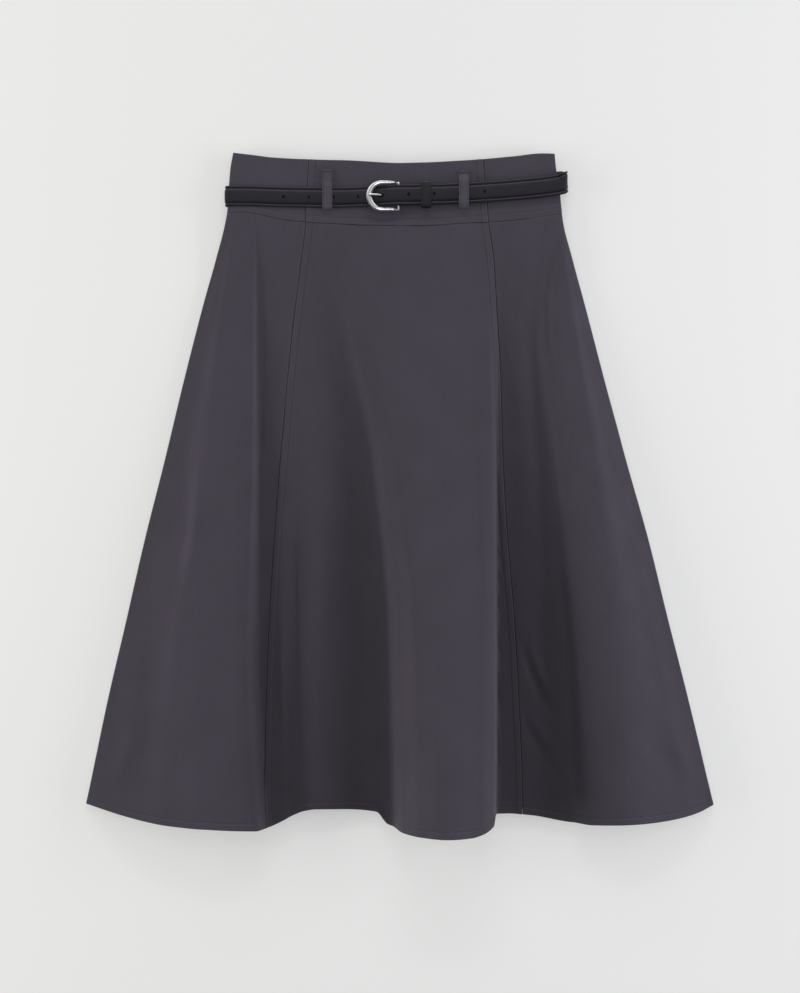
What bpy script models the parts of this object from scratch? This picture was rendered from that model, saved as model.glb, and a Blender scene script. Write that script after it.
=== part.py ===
"""A-line skirt with its own narrow leather belt, laid flat with its front up.

The skirt is cut in a yoke and gores, front and back, and the front gores stand up in soft
flutes towards the hem.  Lengths are in millimetres until a mesh is made.  X runs across the
skirt, "down" runs from the waist to the hem along -Y, and Z is the height above the surface
that the skirt lies on.  "drop" is 0 at the yoke seam and 1 at the hem.
"""

import bisect
import math
from functools import lru_cache

import bmesh
import bpy
from mathutils import Vector

MM = 0.001                  # millimetres to Blender's metres
MIDDLE = 338.2              # down, at the middle of the whole length, where the origin is

# Cloth
CLOTH = 1.2                 # wall of the suiting
GAP = 0.3                   # between two pieces at a seam, or one lying on another
WAIST_LIFT = 3.6            # the back yoke's height, with the belt and its loops below it
LIFT_STARTS = 60.0          # down, where the back starts to come down to the surface
LIFT_ENDS = 135.0           # down, where it lies on the surface
CROWN = 1.2                 # how much the front yoke swells above the back yoke
CROWN_ENDS = 0.16           # drop, where that swelling has gone
FOLD_FADE = 7.0             # length over which the folds start at the foot of the yoke

# Belt
STRAP_WIDTH = 20.0
STRAP = 2.0                 # thickness of the padded strap
FLAP = 1.0                  # thickness of the skived end that folds round the bar
MARGIN = 2.8                # stitched margin on each side of the padding
PAD_SLOPE = 0.6             # width of the slope from the margin up to the padding
PAD_RISE = 0.2              # height of that slope, as a share of the strap's thickness
BAR_X = -1.5                # middle of the buckle's bar
BAR = 2.4                   # diameter of the bar
BAR_LEVEL = GAP + FLAP + GAP + BAR / 2           # middle of the bar above the yoke
FLAP_END = 18.8             # x of the flap's end, below the strap
TURN_LEFT_X = -171.15       # middle of the strap's turn round the left side
TURN_RIGHT_X = 161.0        # middle of its turn round the right side
BACK_RUN_Z = 2.3            # middle of the strap's thickness below the back yoke
ONE_LAYER = GAP + STRAP / 2                      # middle of a strap that lies on the yoke
TWO_LAYERS = ONE_LAYER + STRAP + GAP             # middle of a second strap on top of it
TIP_TURN = math.radians(98)                      # how far round the right side the tip goes

# Seam lines, as x at each distance down
SEAM_LINES = [
    # down, side_left, seam_left, seam_right, side_right
    (0.0, -166.0, -90.5, 82.0, 153.9),
    (18.0, -169.1, -91.2, 83.3, 155.6),
    (36.0, -170.5, -91.9, 84.9, 159.0),
    (55.0, -171.6, -93.0, 86.9, 160.7),
    (72.0, -174.4, -93.7, 88.3, 162.9),
    (108.0, -184.0, -98.6, 93.4, 172.5),
    (148.0, -195.4, -103.5, 96.0, 183.5),
    (228.0, -215.9, -112.2, 100.4, 204.4),
    (308.0, -235.1, -119.1, 102.6, 226.0),
    (387.0, -255.0, -125.4, 107.2, 248.2),
    (467.0, -273.3, -130.1, 114.0, 267.9),
    (547.0, -291.9, -133.2, 118.4, 288.2),
    (627.0, -308.6, -134.4, 121.7, 307.3),
    (675.0, -318.7, -132.2, 122.4, 318.4),
]

# Edges that run across the skirt, as down at each x
WAIST_EDGE = [
    (-166.0, 1.4), (-145.0, 4.0), (-127.0, 6.3), (-90.5, 8.2), (-45.0, 9.6), (0.0, 11.9),
    (25.0, 11.3), (50.0, 10.1), (82.0, 8.0), (114.0, 5.0), (142.0, 2.1), (154.0, 2.4),
]
YOKE_SEAM = [
    (-173.0, 61.7), (-157.0, 60.8), (-139.0, 63.4), (-116.0, 68.2), (-93.6, 70.9),
    (-53.0, 73.2), (0.0, 74.7), (29.0, 74.4), (63.0, 72.2), (88.0, 70.8), (114.0, 68.8),
    (139.0, 65.8), (162.0, 62.6),
]
FRONT_HEM = [
    (-314.0, 650.5), (-298.5, 654.0), (-272.5, 660.1), (-248.0, 665.0), (-224.0, 668.1),
    (-191.0, 670.6), (-133.5, 673.3), (-129.0, 671.9), (-107.0, 661.4), (-95.0, 656.5),
    (-83.0, 654.6), (-60.0, 654.8), (-24.0, 658.0), (-12.0, 670.4), (0.0, 673.2), (12.0, 673.4),
    (46.0, 674.6), (69.5, 673.7), (81.5, 670.9), (91.0, 665.9), (95.0, 659.8), (107.0, 659.6),
    (131.0, 661.6), (179.0, 668.9), (212.0, 667.3), (247.5, 665.2), (272.5, 662.5), (298.0, 657.3),
    (313.0, 651.8),
]
BACK_HEM = [(-314.0, 649.5), (-60.0, 651.5), (110.0, 656.0), (313.0, 650.5)]

# Panels, and the share of the way down at each row of their meshes
FRONT_PANELS = [
    # name, left and right seam line, columns of the yoke's and of the gore's mesh
    ("left", "side_left", "seam_left", 10, 18),
    ("centre", "seam_left", "seam_right", 14, 42),
    ("right", "seam_right", "side_right", 9, 22),
]
BACK_PANELS = [("left", "side_left", "back_seam"), ("right", "back_seam", "side_right")]
BACK_COLUMNS = 10
FRONT_YOKE_ROWS = [i / 5 for i in range(6)]
FRONT_GORE_ROWS = [(i / 24) ** 1.15 for i in range(25)]
BACK_YOKE_ROWS = (0.0, 0.5, 1.0)
BACK_GORE_ROWS = (0.0, 0.02, 0.04, 0.06, 0.08, 0.1, 0.13, 0.2, 0.4, 0.6, 0.8, 1.0)

# Folds of the front: where each crest, shoulder, foot and valley runs, and how high it stands
FOLD_DROPS = (0.0, 0.18, 0.4, 0.68, 1.0)
FOLDS = [
    # name, x at each of those drops, height at each of those drops
    ("side_left", (-165.0, -187.0, -214.0, -246.0, -280.0), (0.4, 2.2, 5.0, 9.0, 13.0)),
    ("crest_left", (-163.0, -177.5, -190.0, -200.0, -196.0), (0.5, 4.5, 10.5, 18.5, 28.0)),
    ("edge_left", (-147.5, -147.5, -147.5, -151.5, -141.5), (0.5, 4.7, 9.8, 16.5, 23.5)),
    ("valley_left", (-142.0, -142.0, -141.5, -141.0, -129.5), (0.0, 0.4, 0.8, 2.2, 7.5)),
    ("ridge_small", (-113.5, -114.5, -115.5, -116.0, -114.0), (0.2, 1.0, 2.5, 5.5, 8.0)),
    ("valley_small", (-102.5, -102.5, -101.5, -102.5, -105.0), (0.2, 1.2, 2.0, 2.8, 5.0)),
    ("hill_left", (-96.0, -84.0, -77.5, -77.5, -81.0), (0.3, 1.8, 3.5, 5.5, 9.0)),
    ("valley_centre", (-90.0, -68.0, -45.0, -33.0, -30.0), (0.1, 0.4, 0.8, 1.5, 3.0)),
    ("foot_left", (-84.0, -58.0, -29.0, -12.0, -8.0), (0.2, 0.8, 1.4, 2.8, 5.0)),
    ("rise_left", (-70.0, -46.0, -17.0, -1.0, 3.0), (0.8, 3.8, 10.0, 22.0, 31.0)),
    ("shoulder_left", (-45.0, -24.0, -1.0, 16.0, 19.0), (1.4, 7.0, 15.5, 33.0, 48.0)),
    ("crest_centre", (20.0, 30.0, 39.5, 50.5, 46.0), (1.6, 8.5, 18.0, 37.0, 55.0)),
    ("shoulder_right", (59.5, 69.5, 77.0, 80.0, 77.5), (1.2, 7.8, 16.5, 33.5, 49.0)),
    ("edge_right", (79.5, 88.0, 91.5, 92.0, 91.0), (0.6, 5.6, 12.5, 26.0, 38.0)),
    ("foot_right", (104.5, 99.5, 97.5, 97.5, 96.5), (0.2, 1.2, 1.6, 2.2, 5.0)),
    ("hill_right", (114.5, 117.5, 124.5, 129.5, 128.0), (0.3, 1.8, 2.6, 3.2, 3.5)),
    ("valley_right", (140.0, 134.0, 149.0, 163.0, 172.0), (0.0, 0.4, 0.8, 1.5, 3.0)),
    ("rise_right", (148.5, 145.0, 160.0, 177.0, 189.0), (0.3, 3.5, 8.0, 13.5, 17.0)),
    ("crest_right", (156.5, 172.0, 192.0, 212.0, 226.0), (0.5, 6.0, 12.0, 19.5, 26.0)),
    ("side_right", (159.5, 180.0, 208.5, 246.5, 285.0), (0.3, 3.2, 6.2, 10.2, 14.5)),
]

# Middle line of the belt, as down at each x
BELT_FRONT = [
    (-175.0, 44.8), (-154.0, 44.8), (-116.0, 46.1), (-66.0, 46.7), (-17.0, 45.3),
    (34.0, 43.8), (84.0, 41.5), (134.0, 37.3), (154.0, 34.7), (167.0, 32.0),
]
BELT_BACK = [(-175.0, 45.5), (0.0, 39.0), (167.0, 29.0)]

# Middle of the strap's thickness above the front yoke, at each x
TONGUE_LEVEL = [
    (-172.0, ONE_LAYER), (-50.0, ONE_LAYER), (-30.0, 2.3), (-18.0, 4.3), (-6.0, 6.5),
    (0.0, 6.6), (8.0, 5.5), (14.0, 4.9), (33.0, 4.9), (41.0, TWO_LAYERS), (161.0, TWO_LAYERS),
]
UNDER_LEVEL = [
    (BAR_X, BAR_LEVEL + 2.0), (3.0, 4.2), (8.0, 2.8), (12.0, 2.6), (33.0, 2.6),
    (41.0, ONE_LAYER), (161.0, ONE_LAYER),
]
UNDER_THICKNESS = [(BAR_X, FLAP), (2.0, FLAP), (8.0, STRAP), (161.0, STRAP)]

# Runs of the strap, as legs of (x where the leg stops, distance between its stations)
FLAP_RUN = [(BAR_X + 2.0, 6.0)]
UNDER_RUN = [(12.0, 1.7), (41.0, 4.0), (TURN_RIGHT_X, 12.0)]
BACK_RUN = [(TURN_LEFT_X, 20.0)]
TONGUE_RUN = [(-56.0, 12.0), (44.0, 3.2), (TURN_RIGHT_X, 12.0)]

# Holes of the tongue, and the loops that hold the belt
HOLES = (-115.9, -90.5, -66.0, -41.8, 8.5, 33.9, 58.6, 84.1)
HOLE_SIZE = (2.5, 3.4)      # along the strap and across it
HOLE_CUT = 6.0              # height of the shape that cuts a hole through the tongue only
PRONG_HOLE = (-20.8, -15.6)                      # x of its ends
PRONG_HOLE_WIDTH = 3.2
PRONG_HOLE_CUT = (1.0, 9.0)                      # above the yoke
FOLD_SLOT = (BAR_X - 4.0, BAR_X + 3.0)           # x of the slot for the prong's eye
FOLD_SLOT_WIDTH = 4.0
LOOP_CLOTH = 1.0
LOOP_WIDTH = 9.8
LOOPS = [
    # name, x, down and height of the loop's middle line above the yoke
    ("front_belt_loop_left", -72.2,
     [(18.2, 0.8), (30.5, 0.8), (35.6, 3.1), (56.6, 3.1), (57.5, 2.3), (57.7, 0.3)]),
    ("front_belt_loop_right", 63.4,
     [(19.2, 0.8), (24.0, 0.8), (30.4, 5.4), (53.0, 5.4), (55.4, 4.2), (56.4, 0.3)]),
]
BACK_LOOPS = [
    # name, x, down and height of the loop's middle line above the surface
    ("back_belt_loop_left", -72.2,
     [(16.0, 2.8), (26.0, 2.8), (30.0, 0.5), (54.5, 0.5), (56.6, 1.2), (57.2, 3.3)]),
    ("back_belt_loop_right", 63.4,
     [(10.0, 2.8), (20.0, 2.8), (24.0, 0.5), (48.5, 0.5), (50.6, 1.2), (51.2, 3.3)]),
]

# Keeper and buckle
KEEPER = (21.1, 30.8)       # x of its two edges
KEEPER_HEIGHT = 27.4        # along the garment's length
KEEPER_WALL = 1.0
KEEPER_BEVEL = 0.3
KEEPER_TOP = 7.2            # above the yoke
BUCKLE_DOWN = 46.0          # middle of the buckle
BUCKLE_RADIUS = 13.35       # of the middle line of its round end
BUCKLE_ROUND_X = -17.3      # where the straight arms meet the round end
BUCKLE_THICKNESS = 2.6
ARM_RUN = [(BUCKLE_ROUND_X, 4.0)]
BOW_STEPS = 18
FRAME_SECTION = [
    # shares of half the frame's width and of half its thickness: flat below, bevelled above
    (-1.0, -0.5), (-0.7, -1.0), (0.7, -1.0), (1.0, -0.5),
    (1.0, 0.1), (0.45, 1.0), (-0.45, 1.0), (-1.0, 0.1),
]
FRAME_LEVEL = [(-31.0, 6.9), (-17.3, 6.1), (BAR_X, BAR_LEVEL)]
FRAME_WIDTH = [(-31.0, 5.4), (-17.3, 3.8), (-6.0, 3.4), (BAR_X, 2.8)]
PRONG_PATH = [
    # x, level above the yoke, radius
    (-3.4, 2.8, 1.1), (-8.0, 2.6, 1.1), (-15.4, 2.4, 1.1), (-17.0, 3.1, 1.1),
    (-18.1, 4.6, 1.1), (-19.2, 6.2, 1.1), (-21.6, 7.8, 1.05), (-26.0, 9.0, 1.0),
    (-29.0, 9.6, 0.95), (-31.0, 9.8, 0.7),
]
PRONG_EYE = 2.35            # radius of the prong's eye on the bar
PRONG_EYE_WIDTH = 2.6
PRONG_BORE = BAR + 0.5      # diameter of the eye's hole

# Materials: sRGB colour, roughness, metallic
MATERIALS = {
    "grey_suiting": ((72, 69, 77), 0.85, 0.0),
    "black_leather": ((40, 39, 45), 0.45, 0.0),
    "polished_steel": ((205, 205, 205), 0.15, 1.0),
}


def mix(a, b, share):
    return a + (b - a) * share


def ease(share):
    """0 to 1, starting and ending level."""
    share = min(max(share, 0.0), 1.0)
    return share * share * (3 - 2 * share)


def smooth_line(points):
    """A curve through points (at, value) that turns only where the points turn."""
    at = [point[0] for point in points]
    value = [point[1] for point in points]
    span = [b - a for a, b in zip(at, at[1:])]
    rise = [(b - a) / width for a, b, width in zip(value, value[1:], span)]
    slope = [rise[0]]
    for before, after in zip(rise, rise[1:]):
        slope.append(2 * before * after / (before + after) if before * after > 0 else 0.0)
    slope.append(rise[-1])

    def curve(x):
        x = min(max(x, at[0]), at[-1])
        i = min(bisect.bisect_right(at, x) - 1, len(span) - 1)
        t = (x - at[i]) / span[i]
        near = (1 + 2 * t) * value[i] + t * span[i] * slope[i]
        far = (3 - 2 * t) * value[i + 1] + (t - 1) * span[i] * slope[i + 1]
        return near * (1 - t) ** 2 + far * t ** 2

    return curve


def place(x, down, z):
    """A point of the skirt in Blender's metres."""
    return Vector((x, MIDDLE - down, z)) * MM


# ---------------------------------------------------------------- the skirt's surface

LINES = ("side_left", "seam_left", "seam_right", "side_right")
line_x = {
    name: smooth_line([(row[0], row[column]) for row in SEAM_LINES])
    for column, name in enumerate(LINES, start=1)
}
line_x["back_seam"] = lambda down: 0.0
waist_edge = smooth_line(WAIST_EDGE)
yoke_seam = smooth_line(YOKE_SEAM)
front_hem = smooth_line(FRONT_HEM)
back_hem = smooth_line(BACK_HEM)
belt_front = smooth_line(BELT_FRONT)
belt_back = smooth_line(BELT_BACK)


@lru_cache(maxsize=None)
def meeting(line, edge):
    """How far down a seam line meets an edge that runs across the skirt."""
    down = edge(0.0)
    for _ in range(20):
        down = edge(line_x[line](down))
    return down


def line_at(line, top, bottom, share):
    """x of a seam line, at a share of its way from one edge to another."""
    return line_x[line](mix(meeting(line, top), meeting(line, bottom), share))


@lru_cache(maxsize=None)
def folds_across(drop):
    """Height of the folds along x, at one drop."""
    points = [(line_at("side_left", yoke_seam, front_hem, drop), 0.0)]
    for _, xs, heights in FOLDS:
        x = smooth_line(list(zip(FOLD_DROPS, xs)))(drop)
        points.append((x, smooth_line(list(zip(FOLD_DROPS, heights)))(drop)))
    points.append((line_at("side_right", yoke_seam, front_hem, drop), 0.0))
    return smooth_line(points)


def back_lift(down):
    """Underside of the back above the surface."""
    return WAIST_LIFT * (1 - ease((down - LIFT_STARTS) / (LIFT_ENDS - LIFT_STARTS)))


def crown(x, down):
    """Swelling of the front yoke between the side seams."""
    left = line_x["side_left"](down)
    right = line_x["side_right"](down)
    share = min(max((x - left) / (right - left), 0.0), 1.0)
    return CROWN * 4 * share * (1 - share)


def yoke_top(x, down):
    fold = folds_across(0.0)(x) * ease(1 - (yoke_seam(x) - down) / FOLD_FADE)
    return WAIST_LIFT + 2 * CLOTH + GAP + crown(x, down) + fold


def gore_top(x, down, drop):
    swell = crown(x, down) * (1 - ease(drop / CROWN_ENDS))
    return back_lift(down) + 2 * CLOTH + GAP + swell + folds_across(drop)(x)


def belt_seat(x):
    """Top of the front yoke along the belt."""
    return yoke_top(x, belt_front(x))


def panel_row(left, right, top, bottom, share, height):
    """A row of a panel, from its left seam to its right one, as a function of 0 to 1."""
    row_ends = [line_at(line, top, bottom, share) for line in (left, right)]
    top_ends = [line_at(line, top, bottom, 0.0) for line in (left, right)]
    foot_ends = [line_at(line, top, bottom, 1.0) for line in (left, right)]
    inset = (0.0 if left == "side_left" else GAP / 2, 0.0 if right == "side_right" else GAP / 2)
    top_gap = 0.0 if top is waist_edge else GAP / 2
    foot_gap = GAP / 2 if bottom is yoke_seam else 0.0

    def point(across):
        x = mix(row_ends[0] + inset[0], row_ends[1] - inset[1], across)
        first = top(mix(top_ends[0], top_ends[1], across)) + top_gap
        last = bottom(mix(foot_ends[0], foot_ends[1], across)) - foot_gap
        down = mix(first, last, share)
        return place(x, down, height(x, down, share))

    return point


def even_steps(curve, count, samples=200):
    """Points at even distances along a curve."""
    points = [curve(i / samples) for i in range(samples + 1)]
    reached = [0.0]
    for a, b in zip(points, points[1:]):
        reached.append(reached[-1] + (b - a).length)
    steps = []
    for i in range(count + 1):
        wanted = reached[-1] * i / count
        k = min(max(bisect.bisect_left(reached, wanted), 1), samples)
        part = (wanted - reached[k - 1]) / (reached[k] - reached[k - 1])
        steps.append(curve((k - 1 + part) / samples))
    return steps


# ---------------------------------------------------------------- making objects

def linear(colour):
    """An sRGB colour, 0 to 255, as Blender's linear one."""
    shares = [part / 255 for part in colour]
    return [s / 12.92 if s <= 0.04045 else ((s + 0.055) / 1.055) ** 2.4 for s in shares]


def make_material(name, colour, roughness, metallic):
    material = bpy.data.materials.new(name)
    material.use_nodes = True
    shader = material.node_tree.nodes["Principled BSDF"]
    shader.inputs["Base Color"].default_value = (*linear(colour), 1.0)
    shader.inputs["Roughness"].default_value = roughness
    shader.inputs["Metallic"].default_value = metallic
    return material


def make_object(name, bm, material, parent, smooth_angle=40.0):
    bmesh.ops.recalc_face_normals(bm, faces=bm.faces)
    mesh = bpy.data.meshes.new(name)
    bm.to_mesh(mesh)
    bm.free()
    mesh.shade_smooth()
    mesh.set_sharp_from_angle(angle=math.radians(smooth_angle))
    mesh.materials.append(material)
    made = bpy.data.objects.new(name, mesh)
    made.parent = parent
    bpy.context.scene.collection.objects.link(made)
    return made


def make_panel(name, rows, material, parent):
    """A cloth panel: a grid laid along its rows, with the wall grown below it."""
    count = len(rows[0]) - 1
    bm = bmesh.new()
    bmesh.ops.create_grid(bm, x_segments=count, y_segments=len(rows) - 1, size=1.0)
    for vert in bm.verts:
        column = round((vert.co.x + 1) / 2 * count)
        row = round((1 - vert.co.y) / 2 * (len(rows) - 1))
        vert.co = rows[row][column]
    panel = make_object(name, bm, material, parent)
    wall = panel.modifiers.new("wall", "SOLIDIFY")
    wall.thickness = CLOTH * MM
    wall.offset = -1.0
    wall.use_even_offset = True
    return panel


def make_sweep(bm, stations, section):
    """A closed solid along stations (point, scale), with the section's side kept along Y."""
    rings = []
    for i, (point, size) in enumerate(stations):
        before = stations[max(i - 1, 0)][0]
        after = stations[min(i + 1, len(stations) - 1)][0]
        forward = (after - before).normalized()
        side = Vector((0, 1, 0))
        side = (side - side.dot(forward) * forward).normalized()
        up = forward.cross(side)
        ring = [point + side * across * MM + up * out * MM for across, out in section(size)]
        rings.append([bm.verts.new(co) for co in ring])
    for a, b in zip(rings, rings[1:]):
        for i in range(len(a)):
            j = (i + 1) % len(a)
            bm.faces.new((a[i], a[j], b[j], b[i]))
    bm.faces.new(rings[0])
    bm.faces.new(list(reversed(rings[-1])))


def add_cylinder(bm, centre, radius, length, axis, sides=20, squash=1.0):
    """A cylinder along Y or Z, squashed along X."""
    made = bmesh.ops.create_cone(
        bm, cap_ends=True, segments=sides, radius1=radius * MM, radius2=radius * MM,
        depth=length * MM)
    for vert in made["verts"]:
        x, y, z = vert.co
        vert.co = centre + (Vector((x * squash, y, z)) if axis == "Z" else Vector((x, -z, y)))


def add_box(bm, low, high):
    """A box between two corners given as x, down and z."""
    a = place(*low)
    b = place(*high)
    made = bmesh.ops.create_cube(bm, size=1.0)
    for vert in made["verts"]:
        vert.co = Vector([mix(a[i], b[i], vert.co[i] + 0.5) for i in range(3)])


def join_by(target, operation, name, bm, parent):
    """Cut a shape from an object, or join the shape to it."""
    tool = make_object(name, bm, target.data.materials[0], parent)
    tool.hide_render = True
    tool.display_type = "WIRE"
    boolean = target.modifiers.new(name, "BOOLEAN")
    boolean.operation = operation
    boolean.object = tool
    boolean.solver = "EXACT"


def ellipse(width, height, sides):
    turns = [math.tau * i / sides for i in range(sides)]
    return [(width / 2 * math.cos(turn), height / 2 * math.sin(turn)) for turn in turns]


# ---------------------------------------------------------------- cloth

def panel_rows(left, right, top, bottom, shares, height, columns):
    return [even_steps(panel_row(left, right, top, bottom, share, height), columns)
            for share in shares]


def make_skirt(cloth, parent):
    """Yoke and gores, front and back."""
    def yoke_height(x, down, _):
        return yoke_top(x, down)

    def back_height(x, down, _):
        return back_lift(down) + CLOTH

    for name, left, right, yoke_columns, gore_columns in FRONT_PANELS:
        rows = panel_rows(left, right, waist_edge, yoke_seam, FRONT_YOKE_ROWS, yoke_height,
                          yoke_columns)
        make_panel("front_yoke_" + name, rows, cloth, parent)
        rows = panel_rows(left, right, yoke_seam, front_hem, FRONT_GORE_ROWS, gore_top,
                          gore_columns)
        make_panel("front_gore_" + name, rows, cloth, parent)
    for name, left, right in BACK_PANELS:
        rows = panel_rows(left, right, waist_edge, yoke_seam, BACK_YOKE_ROWS, back_height,
                          BACK_COLUMNS)
        make_panel("back_yoke_" + name, rows, cloth, parent)
        rows = panel_rows(left, right, yoke_seam, back_hem, BACK_GORE_ROWS, back_height,
                          BACK_COLUMNS)
        make_panel("back_gore_" + name, rows, cloth, parent)


def make_belt_loop(name, x, path, base, cloth, parent):
    """A strip of cloth that bridges the belt, along a path of down and height."""
    bm = bmesh.new()
    rings = []
    points = [Vector((down, level)) for down, level in path]
    for i, point in enumerate(points):
        forward = (points[min(i + 1, len(points) - 1)] - points[max(i - 1, 0)]).normalized()
        out = Vector((-forward.y, forward.x)) * LOOP_CLOTH / 2
        ring = []
        for across, side in ((-1, -1), (1, -1), (1, 1), (-1, 1)):
            at = point + out * side
            ring.append(bm.verts.new(place(x + across * LOOP_WIDTH / 2, at.x, base + at.y)))
        rings.append(ring)
    for a, b in zip(rings, rings[1:]):
        for i in range(4):
            bm.faces.new((a[i], a[(i + 1) % 4], b[(i + 1) % 4], b[i]))
    bm.faces.new(rings[0])
    bm.faces.new(list(reversed(rings[-1])))
    make_object(name, bm, cloth, parent)


# ---------------------------------------------------------------- belt

def padded_section(thickness):
    """Half width and half thickness of the strap, with its padded middle raised."""
    edge = STRAP_WIDTH / 2
    pad = edge - MARGIN
    flat = pad - PAD_SLOPE
    low = -thickness / 2
    high = thickness / 2
    shelf = high - PAD_RISE * thickness
    return [(-edge, low), (edge, low), (edge, shelf), (pad, shelf), (flat, high),
            (-flat, high), (-pad, shelf), (-edge, shelf)]


def run(start, legs):
    """x of each station of a run, from its start on."""
    found = [start]
    for stop, step in legs:
        count = max(round(abs(stop - start) / step), 1)
        found += [mix(start, stop, i / count) for i in range(1, count + 1)]
        start = stop
    return found


def turn(x, z, radius, start, sweep, count):
    """Points (x, z) clockwise round a middle, from an angle measured from +X towards +Z."""
    angles = [start - sweep * i / count for i in range(count + 1)]
    return [(x + radius * math.cos(a), z + radius * math.sin(a)) for a in angles]


def strap_stations():
    """The strap's middle line, from its flap under the buckle, round the waist, to its tip."""
    under = smooth_line(UNDER_LEVEL)
    tongue = smooth_line(TONGUE_LEVEL)
    thick = smooth_line(UNDER_THICKNESS)
    stations = []

    def add(x, down, z, thickness=STRAP):
        stations.append((place(x, down, z), thickness))

    # flap below the bar, and its turn round the bar
    flap_z = GAP + FLAP / 2
    for x in run(FLAP_END, FLAP_RUN)[:-1]:
        add(x, belt_front(x), belt_seat(x) + flap_z, FLAP)
    seat = belt_seat(BAR_X)
    around_bar = BAR_LEVEL - flap_z
    for x, z in turn(BAR_X, seat + BAR_LEVEL, around_bar, -math.pi / 2, math.pi, 10):
        add(x, belt_front(BAR_X), z, FLAP)
    # under layer to the right side
    for x in run(BAR_X, UNDER_RUN)[1:]:
        add(x, belt_front(x), belt_seat(x) + under(x), thick(x))
    # round the right side
    front_z = belt_seat(TURN_RIGHT_X) + ONE_LAYER
    middle_z = (front_z + BACK_RUN_Z) / 2
    inner = (front_z - BACK_RUN_Z) / 2
    right = turn(TURN_RIGHT_X, middle_z, inner, math.pi / 2, math.pi, 8)
    for i, (x, z) in enumerate(right[1:], start=1):
        add(x, mix(belt_front(TURN_RIGHT_X), belt_back(TURN_RIGHT_X), i / 8), z)
    # along the back, and round the left side
    for x in run(TURN_RIGHT_X, BACK_RUN)[1:]:
        add(x, belt_back(x), BACK_RUN_Z)
    left = turn(TURN_LEFT_X, middle_z, inner, -math.pi / 2, math.pi, 8)
    for i, (x, z) in enumerate(left[1:], start=1):
        add(x, mix(belt_back(TURN_LEFT_X), belt_front(TURN_LEFT_X), i / 8), z)
    # tongue: over the yoke, under the frame, over the bar and on to the right side
    for x in run(TURN_LEFT_X, TONGUE_RUN)[1:]:
        add(x, belt_front(x), belt_seat(x) + tongue(x))
    outer = inner + STRAP + GAP
    tip = turn(TURN_RIGHT_X, middle_z, outer, math.pi / 2, TIP_TURN, 8)
    for i, (x, z) in enumerate(tip[1:], start=1):
        add(x, mix(belt_front(TURN_RIGHT_X), belt_back(TURN_RIGHT_X), i / 8), z)
    return stations


def make_strap(leather, parent):
    bm = bmesh.new()
    make_sweep(bm, strap_stations(), padded_section)
    strap = make_object("belt_strap", bm, leather, parent, 30.0)

    holes = bmesh.new()
    tongue = smooth_line(TONGUE_LEVEL)
    long, wide = HOLE_SIZE
    for x in HOLES:
        low = belt_seat(x) + tongue(x) - STRAP / 2 - GAP / 2
        centre = place(x, belt_front(x), low + HOLE_CUT / 2)
        add_cylinder(holes, centre, wide / 2, HOLE_CUT, "Z", 12, long / wide)
    middle = sum(PRONG_HOLE) / 2
    down = belt_front(middle)
    seat = belt_seat(middle)
    half = PRONG_HOLE_WIDTH / 2
    add_box(holes, (PRONG_HOLE[0], down + half, seat + PRONG_HOLE_CUT[0]),
            (PRONG_HOLE[1], down - half, seat + PRONG_HOLE_CUT[1]))
    down = belt_front(BAR_X)
    seat = belt_seat(BAR_X)
    half = FOLD_SLOT_WIDTH / 2
    fold_top = seat + BAR_LEVEL + BAR / 2 + GAP + FLAP
    add_box(holes, (FOLD_SLOT[0], down + half, seat - 1.0),
            (FOLD_SLOT[1], down - half, fold_top + GAP / 2))
    join_by(strap, "DIFFERENCE", "strap_holes", holes, parent)


def make_keeper(leather, parent):
    """A loop of leather round both layers of the strap."""
    x = (KEEPER[0] + KEEPER[1]) / 2
    down = belt_front(x)
    seat = belt_seat(x)
    half = KEEPER_HEIGHT / 2
    bm = bmesh.new()
    add_box(bm, (KEEPER[0], down + half, seat + GAP), (KEEPER[1], down - half, seat + KEEPER_TOP))
    keeper = make_object("belt_keeper", bm, leather, parent)
    inside = bmesh.new()
    wall = KEEPER_WALL
    add_box(inside, (KEEPER[0] - 1, down + half - wall, seat + GAP + wall),
            (KEEPER[1] + 1, down - half + wall, seat + KEEPER_TOP - wall))
    join_by(keeper, "DIFFERENCE", "keeper_inside", inside, parent)
    bevel = keeper.modifiers.new("soft_edges", "BEVEL")
    bevel.width = KEEPER_BEVEL * MM
    bevel.segments = 1
    bevel.limit_method = "ANGLE"


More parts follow.
